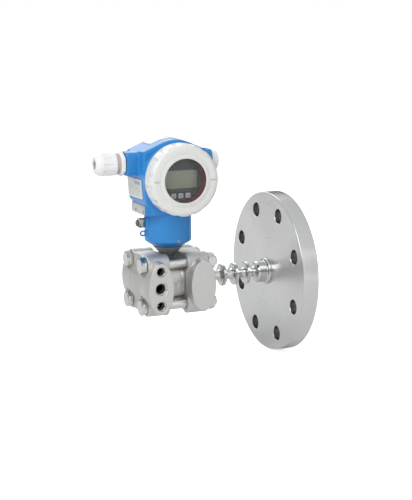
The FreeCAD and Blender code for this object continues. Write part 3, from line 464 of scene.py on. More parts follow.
def hexagon(corner):
    """A hexagon's outline, from its corners' distance to the centre."""
    return [(corner * math.cos(math.tau * k / 6), corner * math.sin(math.tau * k / 6))
            for k in range(6)]


def merged(items, name):
    """Joins several objects' meshes in one new object and clears the old ones."""
    shape = bmesh.new()
    for item in items:
        shape.from_mesh(item.data)
        bpy.data.objects.remove(item)
    mesh = bpy.data.meshes.new(name)
    shape.to_mesh(mesh)
    shape.free()
    return new_object(name, mesh)


def plain(item):
    """The evaluated result as a plain mesh, with no modifier left."""
    graph = bpy.context.evaluated_depsgraph_get()
    mesh = bpy.data.meshes.new_from_object(item.evaluated_get(graph), depsgraph=graph)
    item.modifiers.clear()
    item.data = mesh
    return item


def carved(item, tool, operation="DIFFERENCE"):
    """Cuts a tool out of an item, joins it on, or keeps what the two share."""
    change = item.modifiers.new("carve", "BOOLEAN")
    change.operation = operation
    change.solver = "EXACT"
    change.object = tool
    plain(item)
    bpy.data.objects.remove(tool)
    return item


def crisp(item, width, segments, angle):
    """Bevels the edges, shades smooth and keeps broad faces flat, all as a plain mesh."""
    bevel = item.modifiers.new("edges", "BEVEL")
    bevel.width = width
    bevel.segments = segments
    bevel.limit_method = "ANGLE"
    bevel.angle_limit = math.radians(angle)
    return settled(plain(item))


def settled(item, angle=40):
    """Marks the sharp edges, then lets the broad faces lead the normals."""
    smoothed(item, angle)
    weighted = item.modifiers.new("faces", "WEIGHTED_NORMAL")
    weighted.keep_sharp = True
    return plain(item)


def smoothed(item, angle=40):
    item.data.shade_smooth()
    item.data.set_sharp_from_angle(angle=math.radians(angle))
    return item


def copied(node, name):
    """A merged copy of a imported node's mesh."""
    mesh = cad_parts[node].data.copy()
    mesh.materials.clear()
    shape = bmesh.new()
    shape.from_mesh(mesh)
    bmesh.ops.remove_doubles(shape, verts=shape.verts, dist=1e-7)
    shape.to_mesh(mesh)
    shape.free()
    return new_object(name, mesh)


def cast_from(node, name, voxel, ease):
    """A casting: the node's form skinned again, so its edges are rounded as a mould leaves them."""
    item = copied(node, name)
    skin = item.modifiers.new("skin", "REMESH")
    skin.mode = "VOXEL"
    skin.voxel_size = voxel
    soft = item.modifiers.new("soft", "SMOOTH")
    soft.factor = 0.5
    soft.iterations = ease
    plain(item)
    item.data.shade_smooth()
    return item


def own(item, finish, body, slot, *nodes):
    """Gives a finished piece its material and body, and hides the imported nodes it stands for; the
    slot is not used.
    """
    item.data.materials.clear()
    item.data.materials.append(finish)
    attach(item, body)
    if nodes:
        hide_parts(*nodes)
    return item


def own_copy(node, name, finish, body, slot):
    """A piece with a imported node's own form and softer normals."""
    return own(settled(copied(node, name)), finish, body, slot, node)


def dress(node, finish):
    """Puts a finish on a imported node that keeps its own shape."""
    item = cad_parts[node]
    item.data.materials.clear()
    item.data.materials.append(finish)


# ------------------------------------------------------------------ geometry trees


class Tree(Graph):
    """A Geometry Nodes tree with named inputs."""

    def __init__(self, name):
        super().__init__(bpy.data.node_groups.new(name, "GeometryNodeTree"))
        self.tree.is_modifier = True
        for way in ("INPUT", "OUTPUT"):
            self.tree.interface.new_socket("Geometry", in_out=way,
                                           socket_type="NodeSocketGeometry")
        self.start = self.tree.nodes.new("NodeGroupInput")
        self.end = self.tree.nodes.new("NodeGroupOutput")

    def given(self, name="Geometry"):
        return Value(self, self.start.outputs[name])

    def ask(self, name, kind="Float", default=None):
        socket = self.tree.interface.new_socket(name, in_out="INPUT",
                                                socket_type=f"NodeSocket{kind}")
        if default is not None:
            socket.default_value = default
        return self.given(name)

    def copies(self, points, piece, **sockets):
        """One copy of a piece on each vertex."""
        points = self.node("GeometryNodeMeshToPoints", {}, {"Mesh": points})
        source = self.node("GeometryNodeObjectInfo", {}, {"Object": piece}, "Geometry")
        return self.node("GeometryNodeInstanceOnPoints", {},
                         {"Points": points, "Instance": source, **sockets})

    def finish(self, geometry, material):
        """Ends the tree in Realize Instances and Set Material."""
        real = self.node("GeometryNodeRealizeInstances", {}, {"Geometry": geometry})
        done = self.node("GeometryNodeSetMaterial", {}, {"Geometry": real, "Material": material})
        self.tree.links.new(done.socket, self.end.inputs["Geometry"])
        return self

    def bake(self, item, **values):
        """Runs the tree on an object with named values and leaves a plain mesh."""
        modifier = item.modifiers.new(self.tree.name, "NODES")
        modifier.node_group = self.tree
        for socket in self.tree.interface.items_tree:
            key = socket.name.replace(" ", "_").lower()
            if socket.in_out == "INPUT" and key in values:
                modifier[socket.identifier] = values[key]
        return plain(item)


def repeat_tree():
    """One copy of a pattern piece on every vertex of the list it runs on."""
    tree = Tree("repeat_on_places")
    piece = tree.ask("Piece", "Object")
    material = tree.ask("Finish", "Material")
    turn = tree.ask("Turn", "Float", 0.0)
    index = tree.node("GeometryNodeInputIndex", {}, {})
    spin = tree.vector(index * turn, 0.0, 0.0)
    return tree.finish(tree.copies(tree.given(), piece, Rotation=spin), material)


def drill_tree():
    """Cuts one drill form round an axis along X, evenly spaced, out of the piece it runs on."""
    tree = Tree("drilled_circle")
    drill = tree.ask("Drill", "Object")
    material = tree.ask("Finish", "Material")
    count = tree.ask("Count", "Int", 8)
    reach = tree.ask("Circle Radius", "Float", 0.08)
    start = tree.ask("Start Turn", "Float", 0.0)
    ring = tree.node("GeometryNodeMeshCircle", {}, {"Vertices": count, "Radius": reach})
    for spin in (tree.vector(0.0, math.pi / 2, 0.0), tree.vector(start, 0.0, 0.0)):
        ring = tree.node("GeometryNodeTransform", {}, {"Geometry": ring, "Rotation": spin})
    drills = tree.node("GeometryNodeRealizeInstances", {}, {"Geometry": tree.copies(ring, drill)})
    cut = tree.node("GeometryNodeMeshBoolean", {"operation": "DIFFERENCE", "solver": "EXACT"},
                    {"Mesh 1": tree.given(), "Mesh 2": drills}, "Mesh")
    return tree.finish(cut, material)


def flute_tree():
    """Presses evenly spaced round flutes into a turned piece between two stations."""
    tree = Tree("fluted_edge")
    material = tree.ask("Finish", "Material")
    count, reach, flute, depth, first, last = (
        tree.ask(name) for name in ("Count", "Rim Radius", "Flute Radius", "Depth",
                                    "First Station", "Last Station"))
    x, y, station = tree.split(tree.node("GeometryNodeInputPosition", {}, {}))
    radius = (x * x + y * y).root()
    pitch = math.tau / count
    local = y.angle(x) % pitch - pitch / 2.0
    centre = reach + flute - depth
    side = centre * local.sine()
    room = flute * flute - side * side
    wall = centre * local.cosine() - room.most(0.0).root()
    pressed = room.above(0.0) * radius.above(wall)
    between = station.above(first) * station.below(last)
    factor = wall / radius.most(1e-5)
    moved = tree.node("GeometryNodeSetPosition", {},
                      {"Geometry": tree.given(), "Selection": pressed * between,
                       "Position": tree.vector(x * factor, y * factor, station)})
    return tree.finish(moved, material)


def thread_tree():
    """A thread's ridge: a four-sided section swept along a helix."""
    tree = Tree("thread_ridge")
    material = tree.ask("Finish", "Material")
    radius, pitch, turns, ridge = (tree.ask(name) for name in ("Radius", "Pitch", "Turns",
                                                               "Ridge"))
    helix = tree.node("GeometryNodeCurveSpiral", {},
                      {"Resolution": 40, "Rotations": turns, "Start Radius": radius,
                       "End Radius": radius, "Height": pitch * turns})
    section = tree.node("GeometryNodeCurvePrimitiveCircle", {}, {"Resolution": 4, "Radius": ridge})
    swept = tree.node("GeometryNodeCurveToMesh", {},
                      {"Curve": helix, "Profile Curve": section, "Fill Caps": True})
    return tree.finish(swept, material)


def thread(name, finish, radius, pitch, turns, ridge, place):
    """A thread's ridge, moved to its place."""
    made = thread_tree().bake(list_of_places(name, []), finish=finish, radius=radius, pitch=pitch,
                              turns=turns, ridge=ridge)
    made.data.transform(place)
    return made


def list_of_places(name, places):
    mesh = bpy.data.meshes.new(name)
    mesh.from_pydata([tuple(place) for place in places], [], [])
    return new_object(name, mesh)


def repeated(name, pattern, places, finish, turn=0.0):
    """A pattern piece, drawn about the origin, repeated on a list of places as one mesh."""
    made = repeat_tree().bake(list_of_places(name, places), piece=pattern, finish=finish, turn=turn)
    pattern_mesh = pattern.data
    bpy.data.objects.remove(pattern)
    bpy.data.meshes.remove(pattern_mesh)
    return made


# ------------------------------------------------------------------ sizes and colours


def length(name, default, description):
    return bpy.props.FloatProperty(name=name, description=description, default=default,
                                   subtype="DISTANCE", unit="LENGTH", precision=5)


def turn(name, degrees, description):
    return bpy.props.FloatProperty(name=name, description=description, subtype="ANGLE",
                                   default=math.radians(degrees))


def colour(name, default, description):
    return bpy.props.FloatVectorProperty(name=name, description=description, default=default,
                                         subtype="COLOR", size=4, min=0, max=1)


class TransmitterColours(bpy.types.PropertyGroup):
    """The finishes' main colours."""

    casting: colour("Housing paint", shade(45, 141, 215), "Powder paint on the housing")
    cover: colour("Cover paint", shade(236, 237, 233), "Enamel of the screw cover")
    cone: colour("Cone paint", shade(134, 134, 131), "Paint of the cone under the housing")
    gland: colour("Gland plastic", shade(250, 250, 248), "Cable gland and blanking plug")
    gland_ring: colour("Gland ring", shade(196, 184, 182), "Clamp ring behind the gland's nut")
    steel: colour("Turned steel", shade(224, 224, 223), "Process flange")
    casting_steel: colour("Cast steel", shade(214, 213, 210), "Side blocks of the cell")
    plated: colour("Plated steel", shade(226, 225, 222), "Bolts and nuts")
    display: colour("Display plastic", shade(62, 65, 64), "Face of the display unit")
    screen: colour("Screen", shade(136, 141, 118), "Liquid-crystal panel")
    key: colour("Key plastic", shade(196, 198, 197), "Keys under the window")
    window_ring: colour("Window ring", shade(124, 46, 52), "Anodised ring that holds the pane")
    plate: colour("Plate metal", shade(236, 238, 232), "Name and tag plates")
    flap: colour("Flap", shade(244, 247, 250), "Flap over the outer keys")


class CoverSizes(bpy.types.PropertyGroup):
    """Sizes of the screw cover."""

    grips: bpy.props.IntProperty(name="Grips", description="Flutes round the rim", default=16)
    grip_radius: length("Grip radius", 0.007, "Radius of each flute")
    grip_depth: length("Grip depth", 0.0016, "How deep each flute goes")
    face_radius: length("Face radius", 0.0386, "Where the sloping face meets the rim")
    window_radius: length("Window radius", 0.02585, "Clear radius of the window")
    edge: length("Edge", 0.0007, "Rounding of the turned edges")


class FlangeSizes(bpy.types.PropertyGroup):
    """Sizes of the process flange and its seal."""

    holes: bpy.props.IntProperty(name="Holes", description="Bolt holes", default=8)
    circle: length("Bolt circle", 0.08, "Radius of the bolt circle")
    hole: length("Hole radius", 0.009, "Radius of each bolt hole")
    hole_edge: length("Hole edge", 0.0006, "Chamfer at each hole's mouth")
    raised_radius: length("Raised face", 0.069, "Radius of the raised face")
    raised_height: length("Raised height", 0.003, "Height of the raised face")
    edge: length("Edge", 0.0012, "Rounding of the rim")


class CellSizes(bpy.types.PropertyGroup):
    """Sizes of the measuring cell and its fasteners."""

    bolt_offset: length("Bolt offset", 0.025, "Bolts from the cell's axis")
    flats: length("Across flats", 0.018, "Bolt heads and nuts")
    port_pitch: length("Port pitch", 0.0413, "Between the two bolt threads of a pad")
    port_thread: length("Port thread", 0.0018, "Pitch of the middle port's thread")
    bolt_thread: length("Bolt thread", 0.0016, "Pitch of the side threads")


class HousingSizes(bpy.types.PropertyGroup):
    """Sizes of the housing's skin."""

    voxel: length("Skin step", 0.0009, "Step of the casting's skin")
    ease: bpy.props.IntProperty(name="Ease", description="Rounding passes", default=7)
    eye_radius: length("Eye radius", 0.0027, "Middle radius of the wire eye")
    eye_wire: length("Eye wire", 0.0011, "Radius of the eye's wire")


class StageSizes(bpy.types.PropertyGroup):
    """Camera and light."""

    lens: bpy.props.FloatProperty(name="Lens", description="Focal length", default=81.02,
                                  unit="CAMERA")
    azimuth: turn("Azimuth", -23.25, "Camera's turn about Z")
    elevation: turn("Elevation", 10.97, "Camera's tilt down")
    camera: bpy.props.FloatVectorProperty(name="Camera", description="Where the camera stands",
                                          default=(-0.64115, -1.2504, 0.2967),
                                          subtype="TRANSLATION")
    key_power: bpy.props.FloatProperty(name="Key light", description="Power of the main softbox",
                                       default=13.0, unit="POWER")


SETTINGS = {"colours": TransmitterColours, "cover": CoverSizes, "flange": FlangeSizes,
            "cell": CellSizes, "housing": HousingSizes, "stage": StageSizes}


def settings(name):
    return getattr(bpy.context.scene, f"transmitter_{name}")


def tint(name):
    return tuple(getattr(settings("colours"), name))


# ------------------------------------------------------------------ pieces


class FlangeOperator(bpy.types.Operator):
    """Process flange with its drilled bolt circle, and the corrugated seal in its face"""

    bl_idname = "transmitter.flange"
    bl_label = "Process flange"

    def execute(self, context):
        sizes = settings("flange")
        low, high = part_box("process_flange")
        outer = (high.z - low.z) / 2
        total = high.x - low.x
        plain_face = total - sizes.raised_height
        seat = span("process_diaphragm").z / 2
        step, recess, nick = 0.0006, 0.0024, 0.0004
        steps = [(0, 0), (0, outer), (plain_face, outer),
                 (plain_face, sizes.raised_radius + step),
                 (total - nick, sizes.raised_radius), (total, sizes.raised_radius - nick),
                 (total, seat + nick), (total - recess, seat - nick / 2), (total - recess, 0)]
        # The bolt holes' walls get painted shade, darker than the face.
        metal = turned_metal("turned_flange_steel", tint("steel"), 0.24, pitch=0.0004,
                             depth=0.00016, bore_shade=(sizes.holes, sizes.circle, sizes.hole + 0.0002))
        disc = spun("process_flange_disc", eased(steps, sizes.edge, 4), Vector((low.x, 0, 0)),
                    X_AXIS, 256)
        mouth, end = sizes.hole + sizes.hole_edge + OVERCUT, plain_face + OVERCUT
        drill_steps = [(-OVERCUT, 0), (-OVERCUT, mouth), (sizes.hole_edge, sizes.hole),
                       (plain_face - sizes.hole_edge, sizes.hole), (end, mouth), (end, 0)]
        drill = spun("bolt_drill", drill_steps, Vector((low.x, 0, 0)), X_AXIS, 48)
        drill_tree().bake(disc, drill=drill, finish=metal, count=sizes.holes,
                          circle_radius=sizes.circle, start_turn=math.pi / sizes.holes)
        bpy.data.objects.remove(drill)
        own(settled(disc, 32), metal, "cell", "flange_steel", "process_flange")

        foil = bright_metal("seal_foil_steel", shade(212, 212, 210), 0.16)
        half_sheet, wave, wave_pitch = 0.00025, 0.0005, 0.0078
        centre, fade_in, fade_out, points = 0.006, 0.004, 0.003, 120
        ridges, last = [], seat * 0.83
        for k in range(points + 1):
            reach = last * k / points
            swell = min(1.0, max(0.0, (reach - centre) / fade_in))
            swell *= min(1.0, (last - reach) / fade_out)
            ridges.append((wave * math.sin(reach / wave_pitch * math.tau) * swell, reach))
        top = [(half_sheet + rise, reach) for rise, reach in ridges]
        under = [(rise - half_sheet, reach) for rise, reach in reversed(ridges)]
        outline = top + [(half_sheet, seat), (-half_sheet, seat)] + under
        base = Vector((middle("process_diaphragm").x, 0, 0))
        sheet = spun("process_seal_foil", outline, base, X_AXIS, 160)
        own(smoothed(sheet), foil, "cell", "foil_steel", "process_diaphragm")
        return {"FINISHED"}


class NeckOperator(bpy.types.Operator):
    """Finned neck between the cell and the flange, with its bright welding collar"""

    bl_idname = "transmitter.neck"
    bl_label = "Finned neck"

    def execute(self, context):
        low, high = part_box("isolator_neck")
        foot = low.x + 0.010
        reach = high.x - foot
        sunk, tube, core, fin, half = -0.0095, 0.0069, 0.006, 0.014, 0.0023
        first, pitch, fins, collar, lip = 0.028, 0.01635, 3, 0.0135, 0.0166
        steps = [(sunk, 0), (sunk, tube), (0, tube), (0, 0.009), (0.004, 0.009), (0.005, core)]
        side = [(half + 0.0024, core), (half, core + 0.0022), (half + 0.0001, fin - 0.0021),
                (half - 0.0003, fin - 0.0006), (0.0011, fin), (0.0004, fin - 0.0007)]
        for k in range(fins):
            mid = first + k * pitch
            steps += [(mid - away, radius) for away, radius in side]
            steps += [(mid + away, radius) for away, radius in reversed(side)]
        hub = reach - 0.017
        steps += [(hub - 0.0024, core), (hub, core + 0.0024), (hub, 0.011), (hub + 0.0025, collar),
                  (reach - 0.0046, collar), (reach - 0.004, collar + 0.0008),
                  (reach - 0.0034, lip - 0.0005), (reach - 0.0018, lip), (reach, lip), (reach, 0)]
        chrome = turned_metal("polished_neck_steel", shade(216, 216, 214), 0.1, pitch=0.0012,
                              depth=0.00004)
        neck = spun("finned_neck", eased(steps, 0.0009, 4), Vector((foot, 0, 0)), X_AXIS, 96)
        own(smoothed(neck, 50), chrome, "cell", "turned_steel", "isolator_neck", "capillary_tube")
        return {"FINISHED"}


class BlocksOperator(bpy.types.Operator):
    """The two cast side blocks and the threads in the open ports"""

    bl_idname = "transmitter.blocks"
    bl_label = "Side blocks"

    def execute(self, context):
        sizes = settings("cell")
        low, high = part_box("minus_side_flange")
        column = CELL_AT.x - (span("sensor_cell").x / 2 + 0.015)
        heights = (0.0, sizes.port_pitch / 2, -sizes.port_pitch / 2)
        widest = 0.0074
        places = [(column, height, widest) for height in heights]
        # The open ports get painted shade down their walls.
        metal = forged_metal("cast_block_steel", tint("casting_steel"), 0.5, places, high.y)
        for node in ("minus_side_flange", "plus_side_flange"):
            block = cast_from(node, node.replace("flange", "block"), voxel=0.0006, ease=2)
            own(block, metal, "cell", "block_steel", node)
        # The threads fade to black by painted shade down the ports.
        thread_metal = cut_thread("thread_steel", shade(218, 217, 214), places, high.y)
        ridges = []
        port = (0.00685, sizes.port_thread, 8)
        tapped = (0.00556, sizes.bolt_thread, 9)
        ports = zip(heights, (port, tapped, tapped))
        for number, (height, (radius, pitch, turns)) in enumerate(ports, start=1):
            ridges.append(thread(f"port_thread_{number}", thread_metal, radius + 0.0001, pitch,
                                 float(turns), pitch * 0.36,
                                 put((column, low.y + 0.0018, height), Y_AXIS)))
        threads = merged(ridges, "port_threads")
        own(smoothed(threads), thread_metal, "cell", "bolt_steel")
        return {"FINISHED"}


def hex_blank(name, flats, height, bore=0.0, washer=0.0):
    """A hexagon about the X axis with its corners turned off, and a washer face if asked."""
    corner = flats / 2 / math.cos(math.radians(30))
    top, under, foot_radius = flats * 0.47, flats * 0.485, flats * 0.475
    drop = (corner - top) * HEX_SLOPE
    prism = extruded(name, hexagon(corner), height, put(ORIGIN, X_AXIS))
    crown = [(washer, 0), (washer, under), (washer + 0.0001, corner + 0.001),
             (height - drop, corner), (height, top), (height, 0)]
    carved(prism, spun("crown", crown, ORIGIN, X_AXIS, 72), "INTERSECT")
    if washer:
        foot = [(0, 0), (0, foot_radius), (height * 0.8, foot_radius), (height * 0.8, 0)]
        carved(prism, spun("foot", foot, ORIGIN, X_AXIS, 72), "UNION")
    if bore:
        end = height + OVERCUT
        drill = [(-OVERCUT, 0), (-OVERCUT, bore), (end, bore), (end, 0)]
        carved(prism, spun("drill", drill, ORIGIN, X_AXIS, 48))
    return crisp(prism, width=0.0003, segments=2, angle=25)


class FastenersOperator(bpy.types.Operator):
    """The four tie bolts with their nuts, and the rear plug"""

    bl_idname = "transmitter.fasteners"
    bl_label = "Tie bolts"

    def execute(self, context):
        sizes = settings("cell")
        offset = sizes.bolt_offset
        places = [(y, z) for y in (-offset, offset) for z in (-offset, offset)]
        low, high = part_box("tie_bolts")
        head_height, turns, pitch = 0.0075, 9.0, 0.00175
        under_head = low.x + head_height
        reach = high.x - under_head
        nut_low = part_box("tie_nuts")[0].x
        # Painted shade in thin bands where the heads and nuts seat.
        metal = bright_metal("plated_bolt_steel", tint("plated"), 0.2,
                             contact_shade_at=(under_head, nut_low))
        shank = eased([(0, 0), (0, 0.006), (reach, 0.006), (reach, 0)], 0.0012, 3)
        rod = spun("shank", shank, ORIGIN, X_AXIS, 48)
        head = hex_blank("head", sizes.flats, head_height, washer=0.0006)
        head.data.transform(Matrix.Rotation(math.pi, 4, "Z"))
        threads = thread("turns", metal, 0.0057, pitch, turns, ridge=0.0005,
                         place=put((reach - 0.0168, 0, 0), X_AXIS))
        bolt = merged([rod, head, threads], "bolt")
        bolts = repeated("tie_bolt_set", smoothed(bolt, 35),
                         [(under_head, y, z) for y, z in places], metal, math.radians(1.5))
        own(bolts, metal, "cell", "bolt_steel", "tie_bolts")

        nut = hex_blank("nut", sizes.flats, span("tie_nuts").x, bore=0.0061, washer=0.0005)
        nuts = repeated("tie_nut_set", smoothed(nut, 35), [(nut_low, y, z) for y, z in places],
                        metal, math.radians(-1.8))
        own(nuts, metal, "cell", "bolt_steel", "tie_nuts")

        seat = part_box("minus_side_flange")[1].y
        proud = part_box("minus_vent_plug")[1].y - seat
        plug = hex_blank("rear_plug_head", SMALL_FLATS, proud, washer=0.0008)
        plug.data.transform(put((middle("minus_vent_plug").x, seat, 0), Y_AXIS, X_AXIS))
        own(smoothed(plug, 35), metal, "cell", "bolt_steel", "minus_vent_plug")
        return {"FINISHED"}


class CellOperator(bpy.types.Operator):
    """The measuring cell between the blocks, its sealing plug, hexagon nipple and cone"""

    bl_idname = "transmitter.cell"
    bl_label = "Measuring cell"

    def execute(self, context):
        body_size = span("sensor_cell")
        half, radius = body_size.x / 2, body_size.z / 2
        # Painted shade darkens the drum's top and bottom, next to the tie bolts.
        steel = turned_metal("turned_cell_steel", shade(200, 199, 196), 0.3, pitch=0.0013,
                             depth=0.00012, shaded=(radius * 0.7, radius * 0.88))
        chamfer, inset, groove, deep = 0.0008, 0.0045, 0.0006, 0.0005
        steps = [(-half, 0), (-half, radius - chamfer), (-half + chamfer, radius)]
        for seam in (-half + inset, half - inset):
            steps += [(seam - groove, radius), (seam, radius - deep), (seam + groove, radius)]
        steps += [(half - chamfer, radius), (half, radius - chamfer), (half, 0)]
        drum = spun("cell_drum", eased(steps, 0.0003, 2), CELL_AT, X_AXIS, 160)
        own(settled(drum, 32), steel, "cell", "cell_steel", "sensor_cell")

        plug_low, plug_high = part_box("fill_plug")
        plug_radius = (plug_high.x - plug_low.x) / 2
        depth = plug_high.y - plug_low.y
        dimple = depth - 0.0004
        plug_steps = eased([(0, 0), (0, plug_radius), (depth, plug_radius),
                            (depth, plug_radius * 0.62), (dimple, plug_radius * 0.55),
                            (dimple, 0)], 0.0004, 3)
        base = Vector(((plug_low.x + plug_high.x) / 2, plug_high.y, 0))
        plug = spun("sealing_plug", plug_steps, base, -Y_AXIS, 48)
        bright = bright_metal("plug_steel", shade(204, 203, 200), 0.22)
        own(smoothed(plug), bright, "cell", "bolt_steel", "fill_plug")

        cone_low, cone_high = (corner.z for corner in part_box("neck_cone"))
        seat = cone_low - 0.0034
        nipple = hex_blank("hexagon_nipple", SMALL_FLATS, cone_low - seat, washer=0.0006)
        nipple.data.transform(put((CELL_AT.x, 0, seat), Z_AXIS, X_AXIS))
        own(smoothed(nipple, 35), bright, "cell", "cell_steel", "cell_nipple")

        wide, tall = span("neck_cone").x / 2, cone_high - cone_low
        brim, spigot = 0.013, 0.015
        cone_steps = eased([(0, 0), (0, 0.0073), (0.0006, 0.0076), (brim - 0.0008, wide - 0.0002),
                            (brim, wide), (brim, spigot), (tall, spigot), (tall, 0)], 0.0004, 3)
        cone = spun("adapter_cone", cone_steps, Vector((CELL_AT.x, 0, cone_low)), Z_AXIS, 96)
        paint = cast_paint("cone_paint", tint("cone"), 0.34, coat=0.25, grain=0.00006)
        own(settled(cone, 32), paint, "cell", "cone_paint", "neck_cone", "neck_seal")
        return {"FINISHED"}


class HousingOperator(bpy.types.Operator):
    """The painted housing casting with its key wells and lock screw"""

    bl_idname = "transmitter.housing"
    bl_label = "Housing casting"

    def execute(self, context):
        sizes = settings("housing")
        paint = cast_paint("housing_paint", tint("casting"), 0.3, coat=0.45, grain=0.00016)
        shell = cast_from("housing_shell", "housing_casting", sizes.voxel, sizes.ease)
        self.mill_wells(shell)
        own(smoothed(shell, 55), paint, "housing", "blue_paint", "housing_shell")
        screw_metal = bright_metal("lock_screw_steel", shade(190, 190, 188), 0.28)
        dress("housing_lock_screw", screw_metal)
        return {"FINISHED"}

    def mill_wells(self, shell):
        """Opens the wells of the outer keys true to size, deep enough for a pressed key."""
        size = span("outer_key_2")
        play, below, above = 0.00035, 0.0015, 0.005
        radius, length = size.x / 2 + play, size.z
        wells = []
        for number in (1, 2, 3):
            centre = middle(f"outer_key_{number}")
            out = (centre - Vector((CELL_AT.x, centre.y, AXIS_Z))).normalized()
            steps = [(0, 0), (0, radius), (length + above, radius), (length + above, 0)]
            wells.append(spun("well", steps, centre - out * (length / 2 + below), out, 48))
        carved(shell, merged(wells, "wells"))


class PlatesOperator(bpy.types.Operator):
    """Name plate and tag plate with their screws, and the ground terminal"""

    bl_idname = "transmitter.plates"
    bl_label = "Plates and ground terminal"

    def execute(self, context):
        metal = tint("plate")
        finish, stroke, up, back = self.brushed("name_plate_metal", "nameplate", 0.4, 0.36)
        framed = (up - 0.5).size().below(0.43) * (back - 0.5).size().below(0.46)
        band = up.above(0.72) * up.below(0.9) * back.above(0.08) * back.below(0.5)
        lines = ((up * 9).part() - 0.5).size().below(0.16)
        fields = lines * up.above(0.12) * up.below(0.64) * (back - 0.5).size().below(0.4)
        broken = finish.noise(1, 2, finish.vector(0.0, finish.y * 420, up * 9)).above(0.47)
        tone = finish.varied(stroke.ramp(0.3, 0.7), metal, 0.92, 1.05)
        tone = finish.mix(framed * 0.25, tone, shade(188, 196, 196))
        tone = finish.mix(fields * broken * 0.5, tone, shade(132, 130, 126))
        finish.feed("Base Color", finish.mix(band * 0.6, tone, shade(120, 152, 178)))
        own_copy("nameplate", "name_plate", finish.material, "housing", "plate_metal")

        tag, brush, up, back = self.brushed("tag_plate_metal", "tag_plate", 0.5, 0.3)
        edge = (up - 0.5).size().most((back - 0.5).size() * 1.02)
        rim = edge.above(0.43) * edge.below(0.455)
        base = tag.varied(brush.ramp(0.3, 0.7), metal, 0.68, 0.8)
        tag.feed("Base Color", tag.mix(rim * 0.45, base, shade(120, 118, 116)))
        own_copy("tag_plate", "tag_plate_sheet", tag.material, "housing", "plate_metal")

        screw_metal = bright_metal("plate_screw_steel", shade(176, 174, 170), 0.3)
        screw_low, screw_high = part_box("tag_screws")
        radius = (screw_high.z - screw_low.z) / 2
        head_steps = [(0, 0), (0, radius), (0.0003, radius), (0.0006, radius * 0.75),
                      (0.0007, radius * 0.35), (0.0007, 0)]
        head = spun("screw_head", head_steps, ORIGIN, -X_AXIS, 32)
        height = (screw_low.z + screw_high.z) / 2
        places = [(screw_high.x, y, height) for y in (screw_low.y + radius, screw_high.y - radius)]
        own(smoothed(repeated("tag_plate_screws", head, places, screw_metal)), screw_metal,
            "housing", "bolt_steel", "tag_screws")

        zinc = bright_metal("terminal_steel", shade(196, 194, 188), 0.3)
        own_copy("ground_block", "ground_clamp", zinc, "housing", "turned_steel")
        dark = bright_metal("terminal_screw_steel", shade(150, 148, 142), 0.3)
        own_copy("ground_screw", "ground_clamp_screw", dark, "housing", "bolt_steel")
        return {"FINISHED"}

    def brushed(self, name, node, metallic, roughness):
        """A brushed sheet's finish, its strokes, and how far up and back a point lies on it."""
        finish = Finish(name, Metallic=metallic)
        stroke = finish.noise(1, 3, finish.vector(0.0, finish.y * 90, finish.z * 2600))
        up, back = finish.along("z", node), finish.along("y", node)
        finish.feed("Roughness", roughness + (stroke - 0.5) * 0.2)
        finish.bump(stroke, 0.00003)
        return finish, stroke, up, back


